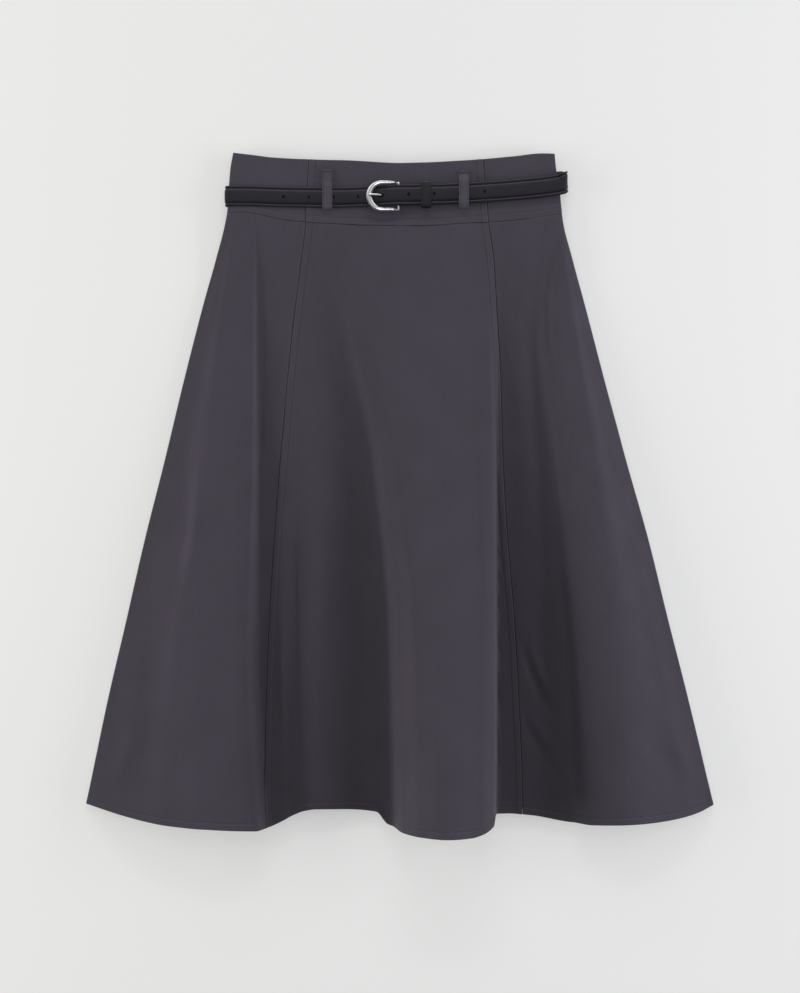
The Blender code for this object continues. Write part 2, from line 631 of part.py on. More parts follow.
def make_buckle(steel, parent):
    """A horseshoe frame with a bar across its open end, and the prong on the bar."""
    seat = belt_seat(BAR_X)
    level = smooth_line(FRAME_LEVEL)
    width = smooth_line(FRAME_WIDTH)
    arm = [(x, 1.0) for x in run(BAR_X, ARM_RUN)[:-1]]
    bow = []
    for i in range(BOW_STEPS + 1):
        turned = math.pi * i / BOW_STEPS
        bow.append((BUCKLE_ROUND_X - BUCKLE_RADIUS * math.sin(turned), math.cos(turned)))
    outline = arm + bow + [(x, -1.0) for x, _ in reversed(arm)]
    bm = bmesh.new()
    rings = []
    points = [place(x, BUCKLE_DOWN - side * BUCKLE_RADIUS, seat + level(x)) for x, side in outline]
    for i, point in enumerate(points):
        forward = (points[min(i + 1, len(points) - 1)] - points[max(i - 1, 0)]).normalized()
        across = forward.cross(Vector((0, 0, 1))).normalized()
        up = across.cross(forward)
        across *= width(outline[i][0]) / 2 * MM
        up *= BUCKLE_THICKNESS / 2 * MM
        rings.append([bm.verts.new(point + across * a + up * b) for a, b in FRAME_SECTION])
    for a, b in zip(rings, rings[1:]):
        for i in range(len(a)):
            j = (i + 1) % len(a)
            bm.faces.new((a[i], a[j], b[j], b[i]))
    bm.faces.new(rings[0])
    bm.faces.new(list(reversed(rings[-1])))
    frame = make_object("buckle_frame", bm, steel, parent, 25.0)
    bar = bmesh.new()
    middle = place(BAR_X, BUCKLE_DOWN, seat + BAR_LEVEL)
    add_cylinder(bar, middle, BAR / 2, 2 * BUCKLE_RADIUS, "Y")
    join_by(frame, "UNION", "buckle_bar", bar, parent)

    down = belt_front(sum(PRONG_HOLE) / 2)
    shaft = bmesh.new()
    stations = [(place(x, down, seat + z), radius) for x, z, radius in PRONG_PATH]
    make_sweep(shaft, stations, lambda radius: ellipse(2 * radius, 2 * radius, 10))
    prong = make_object("buckle_prong", shaft, steel, parent)
    eye = bmesh.new()
    middle = place(BAR_X, down, seat + BAR_LEVEL)
    add_cylinder(eye, middle, PRONG_EYE, PRONG_EYE_WIDTH, "Y")
    join_by(prong, "UNION", "prong_eye", eye, parent)
    bore = bmesh.new()
    add_cylinder(bore, middle, PRONG_BORE / 2, PRONG_EYE_WIDTH + 2, "Y")
    join_by(prong, "DIFFERENCE", "prong_bore", bore, parent)


def main():
    for thing in list(bpy.data.objects):
        bpy.data.objects.remove(thing, do_unlink=True)
    cloth, leather, steel = [make_material(name, *look) for name, look in MATERIALS.items()]
    skirt = bpy.data.objects.new("skirt", None)
    belt = bpy.data.objects.new("belt", None)
    belt.parent = skirt
    for empty in (skirt, belt):
        bpy.context.scene.collection.objects.link(empty)
    make_skirt(cloth, skirt)
    for name, x, path in LOOPS:
        make_belt_loop(name, x, path, belt_seat(x), cloth, skirt)
    for name, x, path in BACK_LOOPS:
        make_belt_loop(name, x, path, 0.0, cloth, skirt)
    make_strap(leather, belt)
    make_keeper(leather, belt)
    make_buckle(steel, belt)


main()
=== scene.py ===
# %% [markdown]
# # An a-line skirt with its own leather belt
#
# The skirt lies flat on a pale floor with its front up.  It is cut in a yoke and gores, and
# the front gores stand up in soft flutes towards the hem.  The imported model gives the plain
# solids.  This lesson dresses them in cloth, thread, leather and steel, and each piece it
# makes takes the place of the plain solid that has its name.

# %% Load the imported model
import math
from functools import lru_cache

import bmesh
import bpy
import numpy as np
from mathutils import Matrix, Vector


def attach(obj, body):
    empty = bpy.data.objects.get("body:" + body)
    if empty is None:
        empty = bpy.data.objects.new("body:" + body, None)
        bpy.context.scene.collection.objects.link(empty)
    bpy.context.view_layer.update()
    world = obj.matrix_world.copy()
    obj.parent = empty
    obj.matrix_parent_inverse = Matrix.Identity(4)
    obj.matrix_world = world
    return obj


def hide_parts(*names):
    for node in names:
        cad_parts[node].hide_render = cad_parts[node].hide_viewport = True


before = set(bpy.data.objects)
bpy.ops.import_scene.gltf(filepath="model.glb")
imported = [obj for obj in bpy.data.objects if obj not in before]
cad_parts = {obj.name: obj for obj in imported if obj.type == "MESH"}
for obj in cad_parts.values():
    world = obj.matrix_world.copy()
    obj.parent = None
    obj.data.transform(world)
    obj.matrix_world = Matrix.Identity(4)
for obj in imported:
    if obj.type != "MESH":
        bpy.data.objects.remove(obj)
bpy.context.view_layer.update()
print("packed nodes:", len(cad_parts))

# %% [markdown]
# ## Working in millimetres
#
# Cloth is measured in millimetres, so all sizes here are too, and a mesh is turned into
# Blender's metres when it is made.  X runs across the skirt, and "down" runs from the waist
# to the hem, against Blender's Y.  "drop" is 0 at the yoke seam and 1 at the hem.
#
# Nearly every line on the skirt is a gentle curve through a few measured points.  A spline
# can swing past its points, so this curve turns only where the points turn, as a ruler bent
# round pins does.

# %% Curves through measured points
MM = 0.001
MIDDLE = 338.2              # down, at the middle of the whole length, where the origin is


def mix(a, b, share):
    return a + (b - a) * share


def ease(share):
    """0 to 1, starting and ending level."""
    share = np.clip(share, 0.0, 1.0)
    return share * share * (3 - 2 * share)


def smooth_line(points):
    """A curve through points (at, value) that turns only where the points turn."""
    at, value = np.array(points, float).T
    span = np.diff(at)
    rise = np.diff(value) / span
    same_way = rise[:-1] * rise[1:] > 0
    slope = np.concatenate([rise[:1], np.zeros(len(at) - 2), rise[-1:]])
    slope[1:-1][same_way] = (2 * rise[:-1] * rise[1:])[same_way] / (rise[:-1] + rise[1:])[same_way]

    def curve(x):
        x = np.clip(x, at[0], at[-1])
        i = np.clip(np.searchsorted(at, x, side="right") - 1, 0, len(span) - 1)
        t = (x - at[i]) / span[i]
        near = (1 + 2 * t) * value[i] + t * span[i] * slope[i]
        far = (3 - 2 * t) * value[i + 1] + (t - 1) * span[i] * slope[i + 1]
        return near * (1 - t) ** 2 + far * t ** 2

    return curve


def points_at(x, down, z):
    """Points of the skirt, in millimetres along Blender's axes."""
    x, down, z = np.broadcast_arrays(x, down, z)
    return np.stack([x, MIDDLE - down, z], axis=-1).astype(float)


def unit(vectors):
    return vectors / np.maximum(np.linalg.norm(vectors, axis=-1, keepdims=True), 1e-9)


def travelled(points):
    """Distance along a line of points."""
    return np.concatenate([[0.0], np.cumsum(np.linalg.norm(np.diff(points, axis=0), axis=1))])


def read_off(at, reached, rows):
    """Rows of values at given distances, from the rows at the distances reached."""
    return np.stack([np.interp(at, reached, column) for column in rows.T], axis=-1)


def points_along(points, distances):
    """Points at given distances along a line of points."""
    return read_off(distances, travelled(points), points)


print("check of the curve:", float(smooth_line([(0, 0), (1, 1), (2, 1)])(0.5)))

# %% [markdown]
# ## The pattern
#
# A pattern cutter draws the seam lines and the edges first, and every panel is what lies
# between four of them.  The same few numbers are in the source of the solids, so the cloth
# falls exactly where the solids are.

# %% Seam lines and edges
SEAM_LINES = [
    # down, side_left, seam_left, seam_right, side_right
    (0.0, -166.0, -90.5, 82.0, 153.9),
    (18.0, -169.1, -91.2, 83.3, 155.6),
    (36.0, -170.5, -91.9, 84.9, 159.0),
    (55.0, -171.6, -93.0, 86.9, 160.7),
    (72.0, -174.4, -93.7, 88.3, 162.9),
    (108.0, -184.0, -98.6, 93.4, 172.5),
    (148.0, -195.4, -103.5, 96.0, 183.5),
    (228.0, -215.9, -112.2, 100.4, 204.4),
    (308.0, -235.1, -119.1, 102.6, 226.0),
    (387.0, -255.0, -125.4, 107.2, 248.2),
    (467.0, -273.3, -130.1, 114.0, 267.9),
    (547.0, -291.9, -133.2, 118.4, 288.2),
    (627.0, -308.6, -134.4, 121.7, 307.3),
    (675.0, -318.7, -132.2, 122.4, 318.4),
]
WAIST_EDGE = [
    (-166.0, 1.4), (-145.0, 4.0), (-127.0, 6.3), (-90.5, 8.2), (-45.0, 9.6), (0.0, 11.9),
    (25.0, 11.3), (50.0, 10.1), (82.0, 8.0), (114.0, 5.0), (142.0, 2.1), (154.0, 2.4),
]
YOKE_SEAM = [
    (-173.0, 61.7), (-157.0, 60.8), (-139.0, 63.4), (-116.0, 68.2), (-93.6, 70.9),
    (-53.0, 73.2), (0.0, 74.7), (29.0, 74.4), (63.0, 72.2), (88.0, 70.8), (114.0, 68.8),
    (139.0, 65.8), (162.0, 62.6),
]
FRONT_HEM = [
    (-314.0, 650.5), (-298.5, 654.0), (-272.5, 660.1), (-248.0, 665.0), (-224.0, 668.1),
    (-191.0, 670.6), (-133.5, 673.3), (-129.0, 671.9), (-107.0, 661.4), (-95.0, 656.5),
    (-83.0, 654.6), (-60.0, 654.8), (-24.0, 658.0), (-12.0, 670.4), (0.0, 673.2), (12.0, 673.4),
    (46.0, 674.6), (69.5, 673.7), (81.5, 670.9), (91.0, 665.9), (95.0, 659.8), (107.0, 659.6),
    (131.0, 661.6), (179.0, 668.9), (212.0, 667.3), (247.5, 665.2), (272.5, 662.5), (298.0, 657.3),
    (313.0, 651.8),
]
BACK_HEM = [(-314.0, 649.5), (-60.0, 651.5), (110.0, 656.0), (313.0, 650.5)]

LINES = ("side_left", "seam_left", "seam_right", "side_right")
line_x = {
    name: smooth_line([(row[0], row[column]) for row in SEAM_LINES])
    for column, name in enumerate(LINES, start=1)
}
line_x["back_seam"] = lambda down: 0.0
edge_down = {
    "waist": smooth_line(WAIST_EDGE),
    "yoke_seam": smooth_line(YOKE_SEAM),
    "front_hem": smooth_line(FRONT_HEM),
    "back_hem": smooth_line(BACK_HEM),
}


@lru_cache(maxsize=None)
def meeting(line, edge):
    """How far down a seam line meets an edge that runs across the skirt."""
    down = edge_down[edge](0.0)
    for _ in range(20):
        down = edge_down[edge](line_x[line](down))
    return float(down)


def line_at(line, top, foot, share):
    """x of a seam line, at a share of its way from one edge to another."""
    return float(line_x[line](mix(meeting(line, top), meeting(line, foot), share)))


print("hem from side to side, mm:",
      round(line_at("side_right", "yoke_seam", "front_hem", 1.0)
            - line_at("side_left", "yoke_seam", "front_hem", 1.0)))

# %% [markdown]
# ## How the front stands up
#
# Laid flat, the hem is longer than the room it has, so the front lifts in three large flutes
# with smaller waves between them.  Each row below is the line of one crest, shoulder, foot
# or valley: its place across the skirt at five drops, and its height there.  Heights are
# read off along each line first and then across, which keeps every fold one long form from
# the yoke to the hem.  A cloth simulation would put the flutes somewhere else each time a
# number changed, so here they are listed one by one.

# %% Folds of the front
FOLD_DROPS = (0.0, 0.18, 0.4, 0.68, 1.0)
FOLDS = [
    # name, x at each of those drops, height at each of those drops
    ("side_left", (-165.0, -187.0, -214.0, -246.0, -280.0), (0.4, 2.2, 5.0, 9.0, 13.0)),
    ("crest_left", (-163.0, -177.5, -190.0, -200.0, -196.0), (0.5, 4.5, 10.5, 18.5, 28.0)),
    ("edge_left", (-147.5, -147.5, -147.5, -151.5, -141.5), (0.5, 4.7, 9.8, 16.5, 23.5)),
    ("valley_left", (-142.0, -142.0, -141.5, -141.0, -129.5), (0.0, 0.4, 0.8, 2.2, 7.5)),
    ("ridge_small", (-113.5, -114.5, -115.5, -116.0, -114.0), (0.2, 1.0, 2.5, 5.5, 8.0)),
    ("valley_small", (-102.5, -102.5, -101.5, -102.5, -105.0), (0.2, 1.2, 2.0, 2.8, 5.0)),
    ("hill_left", (-96.0, -84.0, -77.5, -77.5, -81.0), (0.3, 1.8, 3.5, 5.5, 9.0)),
    ("valley_centre", (-90.0, -68.0, -45.0, -33.0, -30.0), (0.1, 0.4, 0.8, 1.5, 3.0)),
    ("foot_left", (-84.0, -58.0, -29.0, -12.0, -8.0), (0.2, 0.8, 1.4, 2.8, 5.0)),
    ("rise_left", (-70.0, -46.0, -17.0, -1.0, 3.0), (0.8, 3.8, 10.0, 22.0, 31.0)),
    ("shoulder_left", (-45.0, -24.0, -1.0, 16.0, 19.0), (1.4, 7.0, 15.5, 33.0, 48.0)),
    ("crest_centre", (20.0, 30.0, 39.5, 50.5, 46.0), (1.6, 8.5, 18.0, 37.0, 55.0)),
    ("shoulder_right", (59.5, 69.5, 77.0, 80.0, 77.5), (1.2, 7.8, 16.5, 33.5, 49.0)),
    ("edge_right", (79.5, 88.0, 91.5, 92.0, 91.0), (0.6, 5.6, 12.5, 26.0, 38.0)),
    ("foot_right", (104.5, 99.5, 97.5, 97.5, 96.5), (0.2, 1.2, 1.6, 2.2, 5.0)),
    ("hill_right", (114.5, 117.5, 124.5, 129.5, 128.0), (0.3, 1.8, 2.6, 3.2, 3.5)),
    ("valley_right", (140.0, 134.0, 149.0, 163.0, 172.0), (0.0, 0.4, 0.8, 1.5, 3.0)),
    ("rise_right", (148.5, 145.0, 160.0, 177.0, 189.0), (0.3, 3.5, 8.0, 13.5, 17.0)),
    ("crest_right", (156.5, 172.0, 192.0, 212.0, 226.0), (0.5, 6.0, 12.0, 19.5, 26.0)),
    ("side_right", (159.5, 180.0, 208.5, 246.5, 285.0), (0.3, 3.2, 6.2, 10.2, 14.5)),
]

CLOTH = 1.2                 # wall of the suiting
GAP = 0.3                   # between two pieces at a seam, or one lying on another
WAIST_LIFT = 3.6            # the back yoke's height, with the belt below it
LIFT_STARTS = 60.0          # down, where the back starts to come down to the floor
LIFT_ENDS = 135.0           # down, where it lies on the floor
CROWN = 1.2                 # how much the front yoke swells above the back yoke
CROWN_ENDS = 0.16           # drop, where that swelling has gone
FOLD_FADE = 7.0             # length over which the folds start at the foot of the yoke

fold_x = [smooth_line(list(zip(FOLD_DROPS, xs))) for _, xs, _ in FOLDS]
fold_height = [smooth_line(list(zip(FOLD_DROPS, heights))) for _, _, heights in FOLDS]


@lru_cache(maxsize=None)
def folds_across(drop):
    """Height of the folds along x, at one drop."""
    points = [(line_at("side_left", "yoke_seam", "front_hem", drop), 0.0)]
    points += [(float(x(drop)), float(height(drop))) for x, height in zip(fold_x, fold_height)]
    points.append((line_at("side_right", "yoke_seam", "front_hem", drop), 0.0))
    return smooth_line(points)


def back_lift(down):
    """Underside of the back above the floor."""
    return WAIST_LIFT * (1 - ease((down - LIFT_STARTS) / (LIFT_ENDS - LIFT_STARTS)))


def crown(x, down):
    """Swelling of the front yoke between the side seams."""
    left = line_x["side_left"](down)
    right = line_x["side_right"](down)
    share = np.clip((x - left) / (right - left), 0.0, 1.0)
    return CROWN * 4 * share * (1 - share)


def yoke_top(x, down, share=0.0):
    fold = folds_across(0.0)(x) * ease(1 - (edge_down["yoke_seam"](x) - down) / FOLD_FADE)
    return WAIST_LIFT + 2 * CLOTH + GAP + crown(x, down) + fold


def gore_top(x, down, drop):
    swell = crown(x, down) * (1 - ease(drop / CROWN_ENDS))
    return back_lift(down) + 2 * CLOTH + GAP + swell + folds_across(drop)(x)


print("highest crest at the hem, mm:", round(float(gore_top(46.0, 670.0, 1.0)), 1))

# %% [markdown]
# ## Camera, floor and light
#
# A laid-flat garment is photographed from straight above.  The camera stands 1.5 metres up,
# with a lens that gives one pixel to the millimetre on the floor.
#
# Dark cloth shows its folds through shadow more than through shine.  Two long softboxes
# stand low at the left and right, so the flutes shade the valleys between them, and a pale
# surrounding fills the rest.  The floor glows a little, as lit paper does, so that no hard
# shadow lies round the skirt.
#
# Polished metal needs something to mirror.  In a studio that is a dim room above and beyond
# the hem, and a bright one behind the top softbox.  So mirroring rays see a surrounding of
# their own, and the two long boxes are hidden from them.

# %% Camera
CAMERA_HEIGHT = 1.5
CAMERA_DOWN = 344.0         # the point of the skirt below the lens
SENSOR = 36.0
PHOTO_LONG_SIDE = 993

camera = bpy.data.objects.new("camera", bpy.data.cameras.new("camera"))
bpy.context.scene.collection.objects.link(camera)
camera.location = (0.0, (MIDDLE - CAMERA_DOWN) * MM, CAMERA_HEIGHT)
camera.data.sensor_width = SENSOR
camera.data.lens = SENSOR * CAMERA_HEIGHT / MM / PHOTO_LONG_SIDE
bpy.context.scene.camera = camera
print("lens, mm:", round(camera.data.lens, 2))

# %% [markdown]
# ## A short way to write nodes
#
# Materials, the floor and the surrounding light are all node trees.  One helper adds a node,
# sets it up and links it, and a few more do so for the kinds of node that come up again and
# again, so a material can be read from top to bottom.

# %% Node helpers
COLOR_A, COLOR_B, COLOR_OUT = 6, 7, 2            # places of a Mix node's colour sockets


def add(tree, kind, inputs=(), **settings):
    """A new node: settings are its own, and inputs are values or the sockets that feed it."""
    made = tree.nodes.new("ShaderNode" + kind)
    for name, value in settings.items():
        setattr(made, name, value)
    feed(tree, made, inputs)
    return made


def feed(tree, node, inputs):
    for name, value in dict(inputs).items():
        if isinstance(value, bpy.types.NodeSocket):
            tree.links.new(value, node.inputs[name])
        else:
            node.inputs[name].default_value = value


def calculate(tree, operation, *values):
    """One step of a sum, from sockets and numbers."""
    return add(tree, "Math", enumerate(values), operation=operation).outputs["Value"]


def rescale(tree, value, old, new=(0.0, 1.0)):
    """A value carried from one range into another."""
    return add(tree, "MapRange", {"Value": value, "From Min": old[0], "From Max": old[1],
                                  "To Min": new[0], "To Max": new[1]}).outputs["Result"]


def blend(tree, share, first, second):
    """A colour between two colours."""
    return add(tree, "Mix", {"Factor": share, COLOR_A: first, COLOR_B: second},
               data_type="RGBA").outputs[COLOR_OUT]


def bumped(tree, height, strength, distance):
    """The surface's direction, tilted as if it had this height."""
    return add(tree, "Bump", {"Strength": strength, "Distance": distance,
                              "Height": height}).outputs["Normal"]


def carried_mask(tree, name):
    """A mask that the mesh carries, which is 0 on a mesh without it."""
    return add(tree, "Attribute", attribute_name=name).outputs["Fac"]


def new_material(name, values):
    """A material, its node tree and its Principled shader, with plain values set on that."""
    material = bpy.data.materials.new(name)
    material.use_nodes = True
    shader = material.node_tree.nodes["Principled BSDF"]
    feed(material.node_tree, shader, values)
    return material, material.node_tree, shader


# %% Floor
FLOOR_SIZE = 30.0
FLOOR_DROP = 0.0005

floor_paper, _, _ = new_material("floor_paper", {
    "Base Color": (0.60, 0.607, 0.595, 1.0),
    "Roughness": 0.9,
    "Specular IOR Level": 0.0,
    "Emission Color": (0.33, 0.333, 0.327, 1.0),
    "Emission Strength": 1.0,
})
bpy.ops.mesh.primitive_plane_add(size=FLOOR_SIZE, location=(0, 0, -FLOOR_DROP))
floor = bpy.context.object
floor.name = "floor"
floor.data.materials.append(floor_paper)
print("floor, m:", FLOOR_SIZE)

# %% Softboxes and surrounding
SOFTBOXES = [
    # name, place, width, height, watts, colour, whether polished things mirror it
    ("left_softbox", (-1.9, 0.0, 0.4), 1.9, 0.4, 27.5, (1.0, 0.955, 0.945), False),
    ("right_softbox", (1.9, 0.0, 0.4), 1.9, 0.4, 30.0, (0.955, 0.965, 1.0), False),
    ("top_softbox", (0.0, 3.2, 1.5), 2.4, 0.5, 26.0, (0.98, 0.985, 1.0), True),
]
SURROUNDING_LOW = (0.39, 0.39, 0.394, 1.0)       # light from near the horizon
SURROUNDING_HIGH = (0.43, 0.43, 0.435, 1.0)      # and from straight above
BACKGROUND = (0.79, 0.797, 0.783, 1.0)           # what the camera sees past the floor
ROOM_DIM = (0.16, 0.16, 0.165, 1.0)              # what is mirrored from beyond the hem
ROOM_LIT = (1.1, 1.1, 1.11, 1.0)                 # and from behind the top softbox
DIM_TO_LIT = (-0.15, 0.75)                       # how far towards that box one passes over

for name, place, width, height, watts, color, mirrored_by_steel in SOFTBOXES:
    light = bpy.data.lights.new(name, "AREA")
    light.shape = "RECTANGLE"
    light.size = width
    light.size_y = height
    light.energy = watts
    light.color = color
    box = bpy.data.objects.new(name, light)
    box.location = place
    box.rotation_euler = (-Vector(place)).to_track_quat("-Z", "Y").to_euler()
    box.visible_camera = False
    box.visible_glossy = mirrored_by_steel
    bpy.context.scene.collection.objects.link(box)

world = bpy.data.worlds.new("surrounding")
world.use_nodes = True
bpy.context.scene.world = world
sky = world.node_tree
direction = add(sky, "TexCoord").outputs["Generated"]
towards = add(sky, "SeparateXYZ", {"Vector": direction}).outputs
glow = blend(sky, towards["Z"], SURROUNDING_LOW, SURROUNDING_HIGH)
mirrored_room = blend(sky, rescale(sky, towards["Y"], DIM_TO_LIT), ROOM_DIM, ROOM_LIT)
path = add(sky, "LightPath").outputs
room = blend(sky, path["Is Glossy Ray"], glow, mirrored_room)
backdrop = blend(sky, path["Is Camera Ray"], room, BACKGROUND)
feed(sky, sky.nodes["Background"], {"Color": backdrop})
bpy.context.scene.view_settings.view_transform = "Standard"
print("softboxes:", len(SOFTBOXES))

# %% [markdown]
# ## Effects that several finishes share
#
# Real surfaces are never one flat colour.  Cloth, leather and thread all vary a little from
# place to place, and both cloth and leather change where an edge has been pressed or rubbed.
# Each effect is a node group, built once, and every material uses it with its own values.

# %% Node groups
def new_group(name, inputs, outputs):
    """An empty shader node group, with the sockets that it takes in and puts out."""
    tree = bpy.data.node_groups.new(name, "ShaderNodeTree")
    for label, kind, value in inputs:
        socket = tree.interface.new_socket(label, in_out="INPUT", socket_type="NodeSocket" + kind)
        if value is not None:
            socket.default_value = value
    for label, kind in outputs:
        tree.interface.new_socket(label, in_out="OUTPUT", socket_type="NodeSocket" + kind)
    return tree, tree.nodes.new("NodeGroupInput").outputs, tree.nodes.new("NodeGroupOutput")


def use_group(tree, group, inputs):
    made = tree.nodes.new("ShaderNodeGroup")
    made.node_tree = group
    feed(tree, made, inputs)
    return made.outputs


def make_mottle():
    """Makes a colour a little lighter and darker in soft patches."""
    tree, given, out = new_group(
        "mottle",
        [("Vector", "Vector", None), ("Color", "Color", (0.1, 0.1, 0.1, 1.0)),
         ("Scale", "Float", 30.0), ("Amount", "Float", 0.05)],
        [("Color", "Color")])
    noise = add(tree, "TexNoise", {"Vector": given["Vector"], "Scale": given["Scale"],
                                   "Detail": 4.0}).outputs["Fac"]
    swing = rescale(tree, noise, (0.25, 0.75), (-1.0, 1.0))
    share = calculate(tree, "MULTIPLY_ADD", swing, given["Amount"], 1.0)
    color = add(tree, "VectorMath", {0: given["Color"], "Scale": share},
                operation="SCALE").outputs["Vector"]
    feed(tree, out, {"Color": color})
    return tree


def make_edge_wear():
    """Changes colour and roughness where a mask says that an edge is pressed or rubbed."""
    tree, given, out = new_group(
        "edge_wear",
        [("Vector", "Vector", None), ("Mask", "Float", 0.0), ("Breakup Scale", "Float", 200.0),
         ("Color", "Color", (0.1, 0.1, 0.1, 1.0)), ("Worn Color", "Color", (0.2, 0.2, 0.2, 1.0)),
         ("Roughness", "Float", 0.6), ("Worn Roughness", "Float", 0.4)],
        [("Color", "Color"), ("Roughness", "Float")])
    noise = add(tree, "TexNoise", {"Vector": given["Vector"], "Scale": given["Breakup Scale"],
                                   "Detail": 3.0}).outputs["Fac"]
    broken = rescale(tree, noise, (0.3, 0.6), (0.35, 1.0))
    worn = calculate(tree, "MULTIPLY", broken, given["Mask"])
    color = blend(tree, worn, given["Color"], given["Worn Color"])
    span = calculate(tree, "SUBTRACT", given["Worn Roughness"], given["Roughness"])
    rough = calculate(tree, "MULTIPLY_ADD", worn, span, given["Roughness"])
    feed(tree, out, {"Color": color, "Roughness": rough})
    return tree


def make_fine_grain():
    """Height of a fine uneven surface, which can be drawn out along one direction."""
    tree, given, out = new_group(
        "fine_grain",
        [("Vector", "Vector", None), ("Scale", "Float", 1000.0),
         ("Stretch", "Vector", (1.0, 1.0, 1.0)), ("Depth", "Float", 1.0)],
        [("Height", "Float")])
    drawn = add(tree, "VectorMath", {0: given["Vector"], 1: given["Stretch"]},
                operation="MULTIPLY").outputs["Vector"]
    noise = add(tree, "TexNoise", {"Vector": drawn, "Scale": given["Scale"],
                                   "Detail": 5.0, "Roughness": 0.6}).outputs["Fac"]
    feed(tree, out, {"Height": calculate(tree, "MULTIPLY", noise, given["Depth"])})
    return tree


mottle = make_mottle()
edge_wear = make_edge_wear()
fine_grain = make_fine_grain()
print("node groups:", [group.name for group in bpy.data.node_groups])

# %% [markdown]
# ## The suiting
#
# The cloth is a smooth, matte, plum-grey suiting.  Close up it is a fine twill: steep ribs
# half a millimetre apart, crossed by the weft, and uneven because no yarn is quite even.
# The ribs are worked out from a map laid along each panel's own grain, so they turn with the
# panel and follow it over every flute.  A pressed edge is a little smoother and lighter.
#
# Seen from straight above, a soft valley between two flutes renders lighter than it looks in
# real cloth.  So shade is painted there: a mask of how deep each place lies, which is worked
# out from the folds further down, darkens the colour as painted shade.

# %% Suiting
CLOTH_MAP = "cloth"         # name of the map along the grain, in metres
PRESSED = "pressed"         # name of the mask of pressed and rubbed edges
PAINTED_SHADE_MASK = "deep"               # name of the mask of painted shade, on cloth that lies deep between two folds
PAINTED_SHADE_AMOUNT = 0.38           # how much darker the painted shade makes the colour there
BLACK = (0.0, 0.0, 0.0, 1.0)
SUITING = (0.068, 0.060, 0.0785, 1.0)
SUITING_PRESSED = (0.078, 0.070, 0.090, 1.0)
TWILL = 0.00055             # distance between two ribs, in metres
WEFT = 0.00032              # distance between two weft yarns
TWILL_STEEPNESS = 0.6       # how far a rib runs across for each step along it
WEFT_HEIGHT = 0.35          # of the height of the ribs


def waves(tree, value, length, shift):
    """Even waves along a value, from -1 to 1."""
    angle = calculate(tree, "MULTIPLY_ADD", value, math.tau / length, shift)
    return calculate(tree, "SINE", angle)


def make_suiting():
    material, tree, shader = new_material("suiting", {
        "Sheen Weight": 0.08, "Sheen Roughness": 0.45, "Specular IOR Level": 0.3})
    grain = add(tree, "UVMap", uv_map=CLOTH_MAP).outputs["UV"]
    across = add(tree, "SeparateXYZ", {"Vector": grain}).outputs
    uneven = use_group(tree, fine_grain, {"Vector": grain, "Scale": 700.0,
                                          "Stretch": (1.0, 0.15, 1.0), "Depth": 4.0})["Height"]
    rib_line = calculate(tree, "MULTIPLY_ADD", across["Y"], TWILL_STEEPNESS, across["X"])
    ribs = waves(tree, rib_line, TWILL, uneven)
    weft = waves(tree, across["Y"], WEFT, uneven)
    height = calculate(tree, "MULTIPLY_ADD", weft, WEFT_HEIGHT, ribs)
    patches = use_group(tree, mottle, {"Vector": grain, "Color": SUITING, "Scale": 24.0,
                                       "Amount": 0.05})["Color"]
    drawn = add(tree, "VectorMath", {0: grain, 1: (1.0, 0.04, 1.0)},
                operation="MULTIPLY").outputs["Vector"]
    slubs = use_group(tree, mottle, {"Vector": drawn, "Color": patches, "Scale": 1400.0,
                                     "Amount": 0.07})["Color"]
    finish = use_group(tree, edge_wear, {
        "Vector": grain, "Mask": carried_mask(tree, PRESSED), "Breakup Scale": 120.0,
        "Color": slubs, "Worn Color": SUITING_PRESSED, "Roughness": 0.86,
        "Worn Roughness": 0.68})
    # painted shade: the colour is darkened where the cloth lies deep between two folds
    shade = calculate(tree, "MULTIPLY", carried_mask(tree, PAINTED_SHADE_MASK), PAINTED_SHADE_AMOUNT)
    feed(tree, shader, {"Base Color": blend(tree, shade, finish["Color"], BLACK),
                        "Roughness": finish["Roughness"],
                        "Normal": bumped(tree, height, 0.25, 0.00006)})
    return material


suiting = make_suiting()
print("suiting nodes:", len(suiting.node_tree.nodes))

# %% [markdown]
# ## Thread, leather and steel
#
# The topstitching is in a thread of the cloth's own colour, which shows by its twist and its
# shadow.  The belt is black leather with a fine pebbled grain under a thin, even finish, and
# its cut edges are rubbed dull.  The buckle is polished steel.  A mirror shows what is round
# it, so all it needs is a trace of haze and the faint lines that polishing leaves.

# %% Thread
THREAD = (0.032, 0.0285, 0.037, 1.0)
BELT_THREAD_COLOR = (0.012, 0.0115, 0.014, 1.0)
THREAD_TWIST = 0.0006


def make_thread(name, thread_color):
    material, tree, shader = new_material(name, {
        "Roughness": 0.6, "Sheen Weight": 0.2, "Specular IOR Level": 0.4})
    place = add(tree, "TexCoord").outputs["Object"]
    axes = add(tree, "SeparateXYZ", {"Vector": place}).outputs
    twist = waves(tree, calculate(tree, "ADD", axes["X"], axes["Y"]), THREAD_TWIST, 0.0)
    fuzz = use_group(tree, fine_grain, {"Vector": place, "Scale": 6000.0,
                                        "Depth": 0.8})["Height"]
    height = calculate(tree, "ADD", twist, fuzz)
    color = use_group(tree, mottle, {"Vector": place, "Color": thread_color, "Scale": 900.0,
                                     "Amount": 0.2})["Color"]
    feed(tree, shader, {"Base Color": color, "Normal": bumped(tree, height, 0.5, 0.00005)})
    return material


thread = make_thread("thread", THREAD)
belt_thread = make_thread("belt_thread", BELT_THREAD_COLOR)
print("thread nodes:", len(thread.node_tree.nodes))

# %% Leather
LEATHER = (0.0075, 0.0074, 0.0135, 1.0)
LEATHER_RUBBED = (0.011, 0.0108, 0.0165, 1.0)
PEBBLES = 1500.0            # pebbles of the grain in a metre


